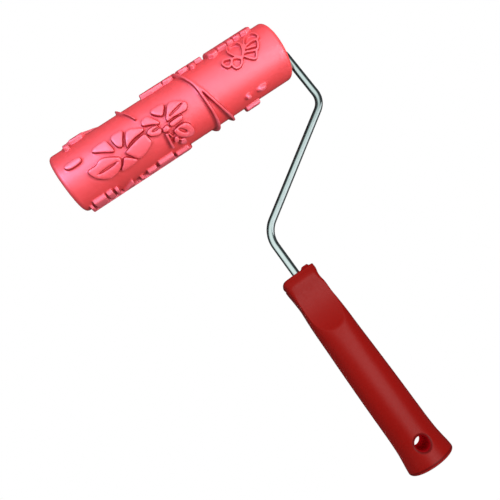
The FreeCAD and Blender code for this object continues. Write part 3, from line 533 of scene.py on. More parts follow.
# Raised lines
RIBS = [
    [(14.0, -30.0), (15.8, -20.0), (17.2, -13.0), (18.8, -7.0), (20.6, -1.0), (21.4, 5.0),
     (21.6, 12.0), (22.0, 18.0), (22.4, 24.0), (22.7, 30.0), (22.8, 37.0), (22.4, 47.0),
     (20.6, 60.0), (16.6, 74.0), (11.4, 90.0), (9.0, 106.0), (11.0, 118.0), (14.0, 127.08)],
    [(20.7, -1.0), (22.4, 4.5), (24.2, 9.0), (25.8, 14.5), (27.6, 20.0), (29.2, 25.0),
     (30.9, 30.0), (32.8, 36.0), (34.6, 43.0), (35.6, 50.0), (35.6, 58.0), (33.4, 68.0),
     (27.8, 82.0), (23.0, 98.0), (18.0, 112.0), (14.0, 127.08)],
    [(-12.8, 19.4), (-13.2, 24.0), (-13.4, 31.0)],
]
FINE_RIBS = [
    [(-32.2, -38.0), (-32.2, -24.0), (-30.6, -16.0), (-27.4, -9.0), (-25.6, -4.6),
     (-24.6, -1.6)],
    [(-11.0, 19.2), (-10.4, 21.6), (-9.8, 23.2)],
    [(-6.4, 27.8), (-5.6, 29.6)],
]
RIB_HALF, FINE_HALF, FLOWER_HALF = 0.95, 0.62, 0.75     # half widths of the lines

# The far half of the sleeve repeats the same stamps: stamp, place, degrees, scale
REPEATS = [
    (FLOWER_A, (58.0, 77.0), 165.0, 0.92),
    (FLOWER_B, (-52.0, 80.0), 62.0, 0.95),
    (LEAF, (-30.0, 72.0), -35.0, 1.1),
    (FLOWER_B, (58.0, 107.0), 190.0, 0.9),
    (FLOWER_A, (-22.0, 102.0), 20.0, 0.86),
    (LEAF, (-8.0, 77.0), 100.0, 1.1),
    (LEAF, (-76.0, 76.0), 30.0, 1.0),
    (LEAF, (78.0, 96.0), -70.0, 1.1),
    (LEAF, (37.0, 98.0), 150.0, 0.9),
]

# Wall of a raised shape: signed distance from its outline, share of the full height
WALL = [(-0.62, 0.0), (-0.34, 0.045), (-0.14, 0.17), (-0.02, 0.50), (0.10, 0.80), (0.28, 0.925),
        (0.62, 1.0)]
DISTANCES, SHARES = (list(column) for column in zip(*WALL))
SLOT_DEPTH = -0.10              # signed distance at the floor of a slot
THIN_LINE_TOP = 0.24            # signed distance at the top of the thinner lines

PATTERN_END = SLEEVE_LEN / 2 - END_FILLET       # the pattern lies between +-PATTERN_END
CIRC = 2 * math.pi * R_TOP
GRID_NX, GRID_NS = 681, 628
GRID_X = np.linspace(-PATTERN_END, PATTERN_END, GRID_NX)
GRID_S = np.linspace(-CIRC / 2, CIRC / 2, GRID_NS + 1)
FAR = 2.6                       # distances are not followed further out than this
SLEEVE_SEG = 112                # columns round the sleeve's plain parts


def moved(outline, origin, place, degrees, scale):
    """The outline turned about origin, scaled and carried to place."""
    cos = math.cos(math.radians(degrees)) * scale
    sin = math.sin(math.radians(degrees)) * scale
    return [(place[0] + (x - origin[0]) * cos - (s - origin[1]) * sin,
             place[1] + (x - origin[0]) * sin + (s - origin[1]) * cos) for x, s in outline]


def raised_shapes():
    """All raised outlines: [(outline, slots, kind)]."""
    groups = [(pads, slots, "pad") for _, pads, slots in (FLOWER_A, FLOWER_B, LEAF)]
    groups += [(LONE_PADS, [], "pad"), (DOMES, [], "dome"), (BLOCKS, [], "block"),
               (SLOPED, [], "sloped")]
    for (origin, pads, slots), *where in REPEATS:
        groups.append(([moved(pad, origin, *where) for pad in pads],
                       [moved(slot, origin, *where) for slot in slots], "pad"))
    return [(outline, slots, kind) for outlines, slots, kind in groups for outline in outlines]


def raised_lines():
    """All raised lines: [(points, half width)]."""
    repeat = [moved(line, LINE_FLOWER_ORIGIN, *LINE_FLOWER_REPEAT) for line in LINE_FLOWER]
    return [(line, half) for lines, half in (
        (RIBS, RIB_HALF), (FINE_RIBS, FINE_HALF), (LINE_FLOWER + repeat, FLOWER_HALF))
        for line in lines]


def curve_through(points, closed, step=0.5, tension=0.42):
    """Cardinal spline through the points, as a dense polyline."""
    points = np.array(points, float)
    ends = (points[-1:], points[:2]) if closed else (points[:1], points[-1:])
    padded = np.vstack([ends[0], points, ends[1]])
    out = []
    for i in range(len(padded) - 3):
        before, start, end, after = padded[i:i + 4]
        count = max(2, int(np.linalg.norm(end - start) / step))
        t = (np.arange(count) / count)[:, None]
        leave, arrive = (end - before) * tension, (after - start) * tension
        blend = 2 * t ** 3 - 3 * t ** 2
        out.append((blend + 1) * start + (t ** 3 - 2 * t ** 2 + t) * leave - blend * end
                   + (t ** 3 - t ** 2) * arrive)
    out = np.concatenate(out)
    return out if closed else np.vstack([out, points[-1]])


def segment_distance(points, starts, ends):
    """Distance of each point to the nearest of the segments."""
    best = np.full(len(points), 1e9)
    batch = 24
    for k in range(0, len(starts), batch):
        base = starts[k:k + batch]
        along = ends[k:k + batch] - base
        length2 = np.maximum((along * along).sum(1), 1e-12)
        offset = points[:, None, :] - base[None]
        t = np.clip((offset * along[None]).sum(2) / length2[None], 0, 1)
        gap = offset - t[..., None] * along[None]
        best = np.minimum(best, np.sqrt((gap * gap).sum(2)).min(1))
    return best


def inside(points, outline):
    """Whether each point is inside the outline, by counting crossings."""
    result = np.zeros(len(points), bool)
    for (x1, s1), (x2, s2) in zip(outline, np.roll(outline, -1, axis=0)):
        if s1 == s2:
            continue
        between = (s1 > points[:, 1]) != (s2 > points[:, 1])
        crossing = (x2 - x1) * (points[:, 1] - s1) / (s2 - s1) + x1
        result ^= between & (points[:, 0] < crossing)
    return result


def signed_distance(points, outline):
    dist = segment_distance(points, outline, np.roll(outline, -1, axis=0))
    return np.where(inside(points, outline), dist, -dist)


def windows(shape, margin):
    """The grid near the shape, for the shape as it is and one turn either way."""
    for turn in (-CIRC, 0.0, CIRC):
        offset = np.array([0.0, turn])
        low = (shape + offset).min(0) - margin
        high = (shape + offset).max(0) + margin
        rows = slice(*np.searchsorted(GRID_X, [low[0], high[0]]))
        cols = slice(*np.searchsorted(GRID_S, [low[1], high[1]]))
        if rows.start < rows.stop and cols.start < cols.stop:
            grid_x, grid_s = np.meshgrid(GRID_X[rows], GRID_S[cols], indexing="ij")
            points = np.stack([grid_x.ravel(), grid_s.ravel()], 1)
            yield offset, (rows, cols), points, grid_x.shape


def dome_distance(points, outline):
    """A smooth mound over the ellipse that fills the outline's box."""
    half = (outline.max(0) - outline.min(0)) / 2
    ellipse = (points - (outline.max(0) + outline.min(0)) / 2) / half
    rise = np.clip((1.28 - np.hypot(ellipse[:, 0], ellipse[:, 1])) / 1.05, 0, 1)
    dist = np.interp(0.5 - 0.5 * np.cos(math.pi * rise), SHARES, DISTANCES)
    return np.where(rise <= 0, -FAR, dist)


def slope_limit(points, foot):
    """Upper limit that makes the side over the foot slope."""
    (xa, sa), (xb, sb) = foot
    foot_s = sa + (sb - sa) * (points[:, 0] - xa) / (xb - xa)
    rise = (points[:, 1] - foot_s) / SLOPE_RUN
    return np.interp(rise, SHARES + [1.4], DISTANCES + [2.0])


def pattern_field():
    """Signed distance to the raised shapes on the unrolled sleeve, positive inside them."""
    field = np.full((GRID_NX, GRID_NS + 1), -FAR)
    for outline, slots, kind in raised_shapes():
        rounded = kind in ("pad", "dome")
        edge = curve_through(outline, True) if rounded else np.array(outline, float)
        cuts = [curve_through(slot, True) for slot in slots]
        for offset, cells, points, shape in windows(edge, FAR):
            if kind == "dome":
                dist = dome_distance(points - offset, edge)
            else:
                dist = signed_distance(points, edge + offset)
            for cut in cuts:
                dist = np.minimum(dist, np.maximum(-signed_distance(points, cut + offset),
                                                   SLOT_DEPTH))
            if kind == "sloped":
                dist = np.minimum(dist, slope_limit(points - offset, outline[:2]))
            field[cells] = np.maximum(field[cells], dist.reshape(shape))
    for line, half in raised_lines():
        line = curve_through(line, False, step=1.2, tension=0.5)
        for start, end in zip(line[:-1], line[1:]):
            for offset, cells, points, shape in windows(np.array([start, end]), FAR + half):
                dist = half - segment_distance(points, (start + offset)[None],
                                               (end + offset)[None])
                if half != RIB_HALF:
                    dist = np.minimum(dist, THIN_LINE_TOP)
                field[cells] = np.maximum(field[cells], dist.reshape(shape))
    # soften the corners; the last column repeats the first
    core = field[:, :-1]
    for _ in range(3):
        core = 0.25 * np.roll(core, 1, 1) + 0.5 * core + 0.25 * np.roll(core, -1, 1)
        middle = 0.25 * core[:-2] + 0.5 * core[1:-1] + 0.25 * core[2:]
        core = np.vstack([core[:1], middle, core[-1:]])
    return np.hstack([core, core[:, :1]])


# Cell sides joined by a contour (Bottom, Top, Left, Right), by which corners are above it
CELL_LINES = {1: ["LB"], 2: ["BR"], 3: ["LR"], 4: ["RT"], 6: ["BT"], 7: ["LT"]}


def contour_links(values, key_x, key_s):
    """Which grid-edge crossings are joined: {crossing: neighbours}."""
    above = values > 0
    case = above[:-1, :-1] * 1 + above[1:, :-1] * 2 + above[1:, 1:] * 4 + above[:-1, 1:] * 8
    links = {}
    rows, cols = np.nonzero((case != 0) & (case != 15))
    for i, j in zip(rows.tolist(), cols.tolist()):
        code = int(case[i, j])
        sides = {"B": key_x(i, j), "T": key_x(i, j + 1), "L": key_s(i, j), "R": key_s(i + 1, j)}
        if code in (5, 10):
            middle = values[i, j] + values[i + 1, j] + values[i, j + 1] + values[i + 1, j + 1] > 0
            pairs = ["LT", "BR"] if (code == 5) == bool(middle) else ["LB", "RT"]
        else:
            pairs = CELL_LINES[min(code, 15 - code)]
        for first, second in pairs:
            links.setdefault(sides[first], []).append(sides[second])
            links.setdefault(sides[second], []).append(sides[first])
    return links


def contours(field, level):
    """Polylines of field == level: [(points, closed)]."""
    values = field - level
    values = np.where(np.abs(values) < 1e-7, 1e-7, values)
    above = values > 0
    nx, ns = values.shape

    def key_x(i, j):
        """Key of the grid edge that runs along x."""
        return j * nx + i

    def key_s(i, j):
        """Key of the grid edge that runs along s."""
        return nx * ns + j * nx + i

    crossings = {}
    ii, jj = np.nonzero(above[:-1] != above[1:])
    t = values[ii, jj] / (values[ii, jj] - values[ii + 1, jj])
    x_at = GRID_X[ii] + t * (GRID_X[ii + 1] - GRID_X[ii])
    for i, j, x in zip(ii.tolist(), jj.tolist(), x_at.tolist()):
        crossings[key_x(i, j)] = (x, float(GRID_S[j]))
    ii, jj = np.nonzero(above[:, :-1] != above[:, 1:])
    t = values[ii, jj] / (values[ii, jj] - values[ii, jj + 1])
    s_at = GRID_S[jj] + t * (GRID_S[jj + 1] - GRID_S[jj])
    for i, j, s in zip(ii.tolist(), jj.tolist(), s_at.tolist()):
        crossings[key_s(i, j)] = (float(GRID_X[i]), s)

    # open lines start at their ends, so they come first
    links = contour_links(values, key_x, key_s)
    used = set()
    out = []
    for start in [key for key, near in links.items() if len(near) == 1] + list(links):
        if start in used:
            continue
        path = [start]
        used.add(start)
        while True:
            following = [key for key in links[path[-1]] if key not in used]
            if not following:
                break
            path.append(following[0])
            used.add(following[0])
        closed = len(path) > 2 and start in links[path[-1]] and len(links[start]) == 2
        out.append((np.array([crossings[key] for key in path]), closed))
    return out


def resample(line, closed, step):
    """The polyline with points about one step apart."""
    if closed:
        line = np.vstack([line, line[:1]])
    run = np.r_[0, np.cumsum(np.linalg.norm(np.diff(line, axis=0), axis=1))]
    count = max(8 if closed else 2, int(round(run[-1] / step)))
    want = np.linspace(0, run[-1], count + 1)
    out = np.stack([np.interp(want, run, line[:, 0]), np.interp(want, run, line[:, 1])], 1)
    return out[:-1] if closed else out


def field_near(field, x, s):
    """The field at the grid point nearest to (x, s)."""
    i = min(GRID_NX - 1, int(round((x + PATTERN_END) / (2 * PATTERN_END) * (GRID_NX - 1))))
    j = min(GRID_NS, int(round((s + CIRC / 2) / CIRC * GRID_NS)))
    return field[i, j]


def rolled(x, radius, s):
    """A point of the unrolled sheet at a radius on the sleeve."""
    angle = s / R_TOP
    return x, -radius * math.cos(angle), -radius * math.sin(angle)


def add_relief(shell, columns):
    """The patterned surface: contours of the walls and a plain grid, triangulated."""
    field = pattern_field()
    points, shares, edges = [], [], []
    for level, share in WALL:
        step = 0.42 if level > -0.5 else 0.55
        for line, closed in contours(field, level):
            if closed and len(line) < 10:
                continue
            line = resample(line, closed, step)
            first, count = len(points), len(line)
            points += [tuple(point) for point in line]
            shares += [share] * count
            edges += [(first + k, first + (k + 1) % count)
                      for k in range(count if closed else count - 1)]
    rows = np.linspace(-PATTERN_END, PATTERN_END, 79)
    for i, x in enumerate(rows):
        for s in columns:
            dist = field_near(field, x, s)
            # the first and last rows stay whole, to meet the rounded ends
            if i not in (0, len(rows) - 1) and -1.05 < dist < 0.95:
                continue
            points.append((float(x), float(s)))
            shares.append(1.0 if dist > 0 else 0.0)
    verts, _, faces, sources, *_ = delaunay_2d_cdt(
        [Vector(point) for point in points], edges, [], 0, 1e-5, True)
    for vert, source in zip(verts, sources):
        if source:
            share = max(shares[k] for k in source)
        else:
            share = float(np.interp(field_near(field, vert.x, vert.y), DISTANCES, SHARES))
        shell.verts.append(rolled(vert.x, R_BASE + (R_TOP - R_BASE) * share, vert.y))
    shell.faces += [tuple(face) for face in faces]


def sleeve_shell():
    shell = Shell()
    columns = np.linspace(-CIRC / 2, CIRC / 2, SLEEVE_SEG + 1)
    add_relief(shell, columns)
    # (x, radius) of the rounded ends, end faces and the mouth of the bore
    half = SLEEVE_LEN / 2
    profile = []
    for angle in (math.radians(90.0 * k / 8) for k in range(9)):
        profile.append((PATTERN_END + END_FILLET * math.sin(angle),
                        R_BASE - END_FILLET + END_FILLET * math.cos(angle)))
    profile += [(half, 18.5), (half - 0.12, 18.15), (half - 0.4, SLEEVE_BORE),
                (half - 3.0, SLEEVE_BORE)]
    bore_rings = []
    for side in (-1, 1):
        rings = [[rolled(side * x, radius, s) for s in columns[:-1]] for x, radius in profile]
        ring = shell.ring(rings[0])
        for points in rings[1:]:
            ring = shell.grow(ring, points)
        bore_rings.append(ring)
    shell.bridge(*bore_rings)
    return shell


sleeve = make_mesh("embossed_rubber_sleeve", sleeve_shell(), RUBBER, "roller",
                   replaces="pattern_sleeve", merge=0.004, angle=62)

# ================================================================== handle
# Stations down the handle: z, half width (x), half depth (y), superellipse exponent
BODY = [
    (-143.4, 12.3, 8.85, 5.2), (-146.2, 12.6, 9.6, 5.4), (-149.5, 12.5, 10.1, 5.5),
    (-155.0, 12.1, 9.95, 5.5),
    (-162.5, 11.75, 10.2, 5.0), (-171.0, 12.3, 10.8, 4.0), (-180.0, 12.8, 11.6, 3.0),
    (-192.0, 13.05, 12.2, 2.45), (-212.0, 13.45, 12.7, 2.2), (-236.0, 13.7, 13.0, 2.12),
    (-256.0, 13.75, 13.1, 2.06), (-265.0, 14.0, 13.4, 2.04), (-272.0, 14.7, 14.2, 2.0),
    (-276.5, 15.3, 14.8, 2.0), (-279.2, 15.52, 15.05, 2.0),
]
BODY_TOP, BODY_END = BODY[0][0], BODY[-1][0]
BODY_DEPTHS = [-station[0] for station in BODY]
HEAD_R, BUTT_R = 1.4, 2.0       # roundings of the upper and lower ends
HANDLE_TOP, HANDLE_END = BODY_TOP + HEAD_R, BODY_END - BUTT_R
# (z, y) of three points on the arc that hollows the -Y and +Y faces
SCOOP = [(-149.8, 9.9), (-163.5, 7.9), (-184.6, 11.9)]
# Lug on the upper end: x from the handle's middle, half depth (y), height, corner radius
LUG_X = (3.8, 9.4)
LUG_HALF_Y, LUG_HEIGHT, LUG_CORNER = 6.6, 1.6, 1.6
SOCKET_R = ROD_R + 0.04
HANDLE_SEG = 184
HOLE_PATCH_ROWS = 8.0           # half height of the patch remeshed round the hole
HOLE_PATCH_COLS = 16            # its half width in columns
# (share of the outline, height) of the dished lower end, with a small pit in the middle
BUTT_PROFILE = [
    (0.93, 0.0), (0.86, 0.0), (0.83, 0.05), (0.80, 0.35), (0.77, 0.75), (0.74, 0.9),
    (0.60, 0.95), (0.40, 1.0), (0.22, 1.0), (0.16, 0.95), (0.14, 0.6), (0.12, 0.5),
    (0.06, 0.5),
]


def monotone_cubic(xs, ys, x):
    """Cubic through the table that doesn't overshoot it."""
    xs, ys = np.asarray(xs, float), np.asarray(ys, float)
    gap = np.diff(xs)
    rate = np.diff(ys) / gap
    slope = np.zeros(len(xs))
    for k in range(1, len(xs) - 1):
        if rate[k - 1] * rate[k] > 0:
            weight1, weight2 = 2 * gap[k] + gap[k - 1], gap[k] + 2 * gap[k - 1]
            slope[k] = (weight1 + weight2) / (weight1 / rate[k - 1] + weight2 / rate[k])
    slope[0], slope[-1] = rate[0], rate[-1]
    k = int(np.clip(np.searchsorted(xs, x) - 1, 0, len(gap) - 1))
    t = (x - xs[k]) / gap[k]
    return ((1 + 2 * t) * (1 - t) ** 2 * ys[k] + t * (1 - t) ** 2 * gap[k] * slope[k]
            + t * t * (3 - 2 * t) * ys[k + 1] + t * t * (t - 1) * gap[k] * slope[k + 1])


def drawn_in(depth, radius):
    """How far a rounded corner draws the side in at a depth into its rounding."""
    share = min(1.0, max(0.0, depth / radius))
    return radius * (1 - math.sqrt(max(0.0, 1 - share * share)))


def station_at(z):
    """Half width, half depth and exponent between the stations, without the roundings."""
    depth = min(max(-z, BODY_DEPTHS[0]), BODY_DEPTHS[-1])
    return [monotone_cubic(BODY_DEPTHS, [station[c] for station in BODY], depth)
            for c in (1, 2, 3)]


def body_at(z):
    """Half width, half depth and exponent of the handle at z."""
    inset = drawn_in(z - BODY_TOP, HEAD_R) + drawn_in(BODY_END - z, BUTT_R)
    half_x, half_y, exponent = station_at(z)
    return half_x - inset, half_y - inset, exponent


def circle_through(p, q, r):
    """Centre and radius of the circle through three points."""
    det = 2 * (p[0] * (q[1] - r[1]) + q[0] * (r[1] - p[1]) + r[0] * (p[1] - q[1]))
    pp, qq, rr = (v[0] ** 2 + v[1] ** 2 for v in (p, q, r))
    x = (pp * (q[1] - r[1]) + qq * (r[1] - p[1]) + rr * (p[1] - q[1])) / det
    y = (pp * (r[0] - q[0]) + qq * (p[0] - r[0]) + rr * (q[0] - p[0])) / det
    return x, y, math.hypot(p[0] - x, p[1] - y)


SCOOP_Z, SCOOP_Y, SCOOP_R = circle_through(*SCOOP)


def scoop_limit(z):
    """Half depth the scoop leaves at z."""
    away = abs(z - SCOOP_Z)
    return 99.0 if away >= SCOOP_R else SCOOP_Y - math.sqrt(SCOOP_R * SCOOP_R - away * away)


def soft_min(first, second, width):
    share = min(1.0, max(0.0, 0.5 + 0.5 * (second - first) / width))
    return second * (1 - share) + first * share - width * share * (1 - share)


def signed_power(values, exponent):
    return np.sign(values) * np.abs(values) ** exponent


def section(z):
    """Points of the handle's section at z, evenly spread, starting at +X."""
    half_x, half_y, exponent = body_at(z)
    angles = np.linspace(0, 2 * math.pi, 1441)
    cos, sin = np.cos(angles), np.sin(angles)
    right = left = half_x
    if z > -166.0:
        # the upper corner at +X is sharp, the one at -X is well rounded with a nick under it
        full = station_at(z)[0]
        dip = 1.25 * math.exp(-((z + 150.5) / 4.5) ** 2)
        nick = 0.45 * math.exp(-((z + 146.6) / 0.7) ** 2)
        right = full - drawn_in(z - HANDLE_TOP + 0.45, 0.45) - dip
        left = full - drawn_in(z - HANDLE_TOP + 2.6, 2.6) - nick
    x = np.where(cos > 0, right, left) * signed_power(cos, 2 / exponent)
    y = half_y * signed_power(sin, 2 / exponent)
    run = np.r_[0, np.cumsum(np.hypot(np.diff(x), np.diff(y)))]
    want = np.linspace(0, run[-1], HANDLE_SEG + 1)[:-1]
    x, y = np.interp(want, run, x), np.interp(want, run, y)
    limit = scoop_limit(z)
    if limit < half_y + 1:
        soft = 0.34 + 0.8 * min(1.0, max(0.0, (z + 160.0) / 8.0))
        y = np.array([math.copysign(soft_min(abs(v), limit, soft), v) for v in y])
    # fine raised line down the -X and +X sides
    x = x + np.sign(x) * 0.10 * np.exp(-(y / 0.22) ** 2)
    return np.stack([HANDLE_X + x, y, np.full(HANDLE_SEG, z)], 1)


def grid_index(i, j):
    """Index of row i, column j of the handle's side."""
    return i * HANDLE_SEG + j % HANDLE_SEG


def add_hole_mouth(shell, loop, side):
    """From the patch's border over the rounded lip on the -Y or +Y side."""
    from_hole = [(shell.verts[v][0] - HANDLE_X, shell.verts[v][2] - HOLE_Z) for v in loop]
    # share of the way out to the border, then angle round the lip in degrees
    steps = [(share, 0) for share in (0.72, 0.46, 0.22, 0.0)]
    steps += [(0.0, angle) for angle in (15, 30, 45, 60, 75, 90)]
    ring = loop
    for share, degrees in steps:
        angle = math.radians(degrees)
        lip_r = HOLE_R + HOLE_LIP * (1 - math.sin(angle))
        points = []
        for dx, dz in from_hole:
            radius = lip_r + (math.hypot(dx, dz) - lip_r) * share
            turn = math.atan2(dz, dx)
            x, z = radius * math.cos(turn), HOLE_Z + radius * math.sin(turn)
            half_x, half_y, exponent = body_at(z)
            y = half_y * max(0.0, 1 - abs(x / half_x) ** exponent) ** (1 / exponent)
            y -= HOLE_LIP * (1 - math.cos(angle))
            points.append((HANDLE_X + x, side * y, z))
        ring = shell.grow(ring, points)
    return ring


def add_side(shell):
    """The handle's side with the hanging hole through it. Returns the row count."""
    head = [HANDLE_TOP - HEAD_R * (1 - math.sin(angle))
            for angle in np.radians(np.linspace(90, 0, 10))]
    butt = [BODY_END - BUTT_R * math.sin(angle) for angle in np.radians(np.linspace(0, 90, 11))]
    levels = np.array(head[:-1] + list(np.linspace(BODY_TOP, BODY_END, 250)) + butt[1:])
    for z in levels:
        shell.ring(section(z))
    top = int(np.searchsorted(-levels, -HOLE_Z - HOLE_PATCH_ROWS))
    low = int(np.searchsorted(-levels, -HOLE_Z + HOLE_PATCH_ROWS))
    # columns of the patch: -Y is three quarters of the way round, +Y one quarter
    patches = {side: (middle - HOLE_PATCH_COLS, middle + HOLE_PATCH_COLS)
               for side, middle in ((-1, 3 * HANDLE_SEG // 4), (1, HANDLE_SEG // 4))}
    for i in range(len(levels) - 1):
        for j in range(HANDLE_SEG):
            if top <= i < low and any(a <= j < b for a, b in patches.values()):
                continue
            shell.faces.append((grid_index(i, j), grid_index(i, j + 1),
                                grid_index(i + 1, j + 1), grid_index(i + 1, j)))

    lips = {}
    for side, ends in patches.items():
        # the +Y border runs the other way, so that both lips list matching points
        start, end = ends[::-side]
        loop = [grid_index(top, j) for j in range(start, end, -side)]
        loop += [grid_index(i, end) for i in range(top, low)]
        loop += [grid_index(low, j) for j in range(end, start, side)]
        loop += [grid_index(i, start) for i in range(low, top, -1)]
        lips[side] = add_hole_mouth(shell, loop, side)
    near, far = (np.array([shell.verts[v] for v in lips[side]]) for side in (-1, 1))
    ring, depth_steps = lips[-1], 26
    for k in range(1, depth_steps):
        ring = shell.grow(ring, near + (far - near) * k / depth_steps)
    shell.bridge(ring, lips[1])
    return len(levels)


def lug_height(x, y):
    half = (LUG_X[1] - LUG_X[0]) / 2
    dx = abs(x - HANDLE_X - sum(LUG_X) / 2) - half + LUG_CORNER
    dy = abs(y) - LUG_HALF_Y + LUG_CORNER
    depth = LUG_CORNER - (math.hypot(max(dx, 0), max(dy, 0)) + min(max(dx, dy), 0.0))
    share = min(1.0, max(0.0, (depth + 0.15) / 1.1))
    return LUG_HEIGHT * math.sin(share * math.pi / 2) ** 0.9


def add_head(shell):
    """Flat upper end with the lug, running into the rod's blind socket."""
    ring = [grid_index(0, j) for j in range(HANDLE_SEG)]
    outer = np.array([shell.verts[v] for v in ring])[:, :2]
    angles = np.arctan2(outer[:, 1], outer[:, 0] - HANDLE_X)
    round_xy = np.stack([np.cos(angles), np.sin(angles)], 1)
    middle = np.array([HANDLE_X, 0.0])
    inner = middle + (SOCKET_R + 0.35) * round_xy
    ring_count = 26
    for k in range(1, ring_count + 1):
        flat = outer + (inner - outer) * k / ring_count
        ring = shell.grow(ring, [(x, y, HANDLE_TOP + lug_height(x, y)) for x, y in flat])
    for radius, z in ((SOCKET_R + 0.1, -142.1), (SOCKET_R, -142.45), (SOCKET_R, -150.0),
                      (SOCKET_R, -175.0), (SOCKET_R, -199.3)):
        ring = shell.grow(ring, [(x, y, z) for x, y in middle + radius * round_xy])
    shell.faces.append(tuple(ring))


def add_butt(shell, row_count):
    ring = [grid_index(row_count - 1, j) for j in range(HANDLE_SEG)]
    outer = [shell.verts[v] for v in ring]
    for share, up in BUTT_PROFILE:
        ring = shell.grow(ring, [(HANDLE_X + (x - HANDLE_X) * share, y * share,
                                  HANDLE_END + up) for x, y, _ in outer])
    shell.faces.append(tuple(ring))


def handle_shell():
    shell = Shell()
    row_count = add_side(shell)
    add_head(shell)
    add_butt(shell, row_count)
    return shell


handle = make_mesh("moulded_handle", handle_shell(), HANDLE, "handle_frame",
                   replaces="handle_grip", angle=55)

# ===================================================================== rod
ROD_START_X, ROD_END_Z = -83.6, -199.0
ARM_X, KNEE1_Z, KNEE2_Z = 91.7, -50.8, -107.9
BEND_RADII = (8.0, 14.5, 19.0)
EARS_X = (80.55, 83.45)         # flattened ears on the rod beside the arm
ROD_SEG = 56


def bend(before, knee, after, radius):
    """Points of the arc that rounds the knee."""
    back, ahead = before - knee, after - knee
    back, ahead = back / np.linalg.norm(back), ahead / np.linalg.norm(ahead)
    half = math.acos(float(np.clip(back @ ahead, -1, 1))) / 2
    tangent = radius / math.tan(half)
    bisector = (back + ahead) / np.linalg.norm(back + ahead)
    centre = knee + bisector * radius / math.sin(half)
    start, end = knee + back * tangent - centre, knee + ahead * tangent - centre
    total = math.acos(float(np.clip(start @ end / (radius * radius), -1, 1)))
    count = max(6, int(radius * total / 0.9))
    return [centre + (math.sin((1 - k / count) * total) * start
                      + math.sin(k / count * total) * end) / math.sin(total)
            for k in range(count + 1)]


def straight(start, end, step):
    """Points between start and end, without either."""
    count = max(1, int(np.linalg.norm(end - start) / step))
    return [start + (end - start) * k / count for k in range(1, count)]


def rod_path():
    knees = [np.array(point, float) for point in (
        (ROD_START_X, 0, 0), (ARM_X, 0, 0), (ARM_X, 0, KNEE1_Z), (HANDLE_X, 0, KNEE2_Z),
        (HANDLE_X, 0, ROD_END_Z))]
    path = [knees[0] + np.array([x, 0, 0]) for x in (0, 0.35, 0.7)]
    path += straight(path[-1], np.array([79.6, 0, 0]), step=4.0)
    # close steps along the ears
    path += [np.array([x, 0, 0]) for x in np.arange(79.6, 83.6, 0.22)]
    for k, radius in enumerate(BEND_RADII):
        arc = bend(*knees[k:k + 3], radius)
        if k:
            path += straight(path[-1], arc[0], step=2.5)
        path += arc
    return path + straight(path[-1], knees[-1], step=2.5) + [knees[-1]]


def rod_shell():
    path = rod_path()
    shell = Shell()
    ring = None
    angles = 2 * math.pi * np.arange(ROD_SEG) / ROD_SEG
    cos, sin = np.cos(angles)[:, None], np.sin(angles)[:, None]
    across = np.array([0.0, 1.0, 0.0])
    for i, point in enumerate(path):
        along = path[min(len(path) - 1, i + 1)] - path[max(0, i - 1)]
        upright = np.cross(along / np.linalg.norm(along), across)
        # the first two rings chamfer the end
        half_across = half_upright = ROD_R - {0: 0.7, 1: 0.3}.get(i, 0.0)
        exponent = 2.0
        if i > 1 and abs(point[2]) < 0.01:
            rise = min(1.0, max(0.0, min(point[0] - EARS_X[0], EARS_X[1] - point[0]) / 0.45))
            rise = rise * rise * (3 - 2 * rise)
            half_across += 2.45 * rise
            half_upright -= 0.55 * rise
            exponent += 0.5 * rise
        points = (point + across * half_across * signed_power(cos, 2 / exponent)
                  + upright * half_upright * signed_power(sin, 2 / exponent))
        if ring is None:
            ring = shell.ring(points)
            shell.faces.append(tuple(ring))
        else:
            ring = shell.grow(ring, points)
    shell.faces.append(tuple(ring))
    return shell


rod = make_mesh("bent_plated_rod", rod_shell(), ROD, "handle_frame", replaces="wire_frame",
                angle=40)

# ============================================ remaining pieces keep their CAD shape
for node_name, mat in (("core_tube", CORE), ("arm_end_cap", CAP), ("free_end_cap", CAP),
                       ("hub_cap", CAP), ("arm_end_bush", NYLON), ("free_end_bush", NYLON),
                       ("arm_end_washer", WASHER), ("free_end_washer", WASHER),
                       ("push_nut", SPRING)):
    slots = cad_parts[node_name].data.materials
    slots.clear()
    slots.append(mat)

# ================================================================== studio
scene = bpy.context.scene
scene.view_settings.view_transform = "Standard"
scene.view_settings.look = "None"
scene.view_settings.exposure = 0.0
scene.view_settings.gamma = 1.0

FLOOR_HALF, FLOOR_Z = 6.0, -0.30        # metres


def floor_material():
    """Near-black to the lights, but glowing pale to the camera."""
    net = NodeNet("pale_floor")
    ray = net.node("ShaderNodeLightPath").outputs
    base_glow, camera_glow, glossy_loss = 0.26, 0.72, 0.22
    glow = net.plus(net.times(ray["Is Camera Ray"], camera_glow), base_glow)
    glow = net.math("SUBTRACT", glow, net.times(ray["Is Glossy Ray"], glossy_loss))
    color = net.mix(net.noise(size=900.0, detail=2.0), (0.030, 0.030, 0.030),
                    (0.026, 0.026, 0.026))
    return net.finish(Base_Color=color, Roughness=0.9, Emission_Color=(1.0, 1.0, 1.0),
                      Emission_Strength=glow)


floor_mesh = bpy.data.meshes.new("studio_floor")
floor_mesh.from_pydata([(x * FLOOR_HALF, y * FLOOR_HALF, FLOOR_Z)
                        for x, y in ((-1, -1), (1, -1), (1, 1), (-1, 1))], [], [(0, 1, 2, 3)])
floor = bpy.data.objects.new("studio_floor", floor_mesh)
scene.collection.objects.link(floor)
floor_mesh.materials.append(floor_material())

# What glossy surfaces mirror, from straight behind (0) to the window in front (1)
WINDOW_AIM = Vector((-0.35, -0.88, -0.32)).normalized()
MIRRORED = [
    (0.0, (0.06, 0.06, 0.065)), (0.10, (0.06, 0.06, 0.06)), (0.22, (0.035, 0.038, 0.04)),
    (0.66, (0.032, 0.036, 0.038)), (0.73, (0.20, 0.25, 0.24)), (0.78, (0.66, 0.74, 0.73)),
    (1.0, (0.92, 0.97, 0.96)),
]


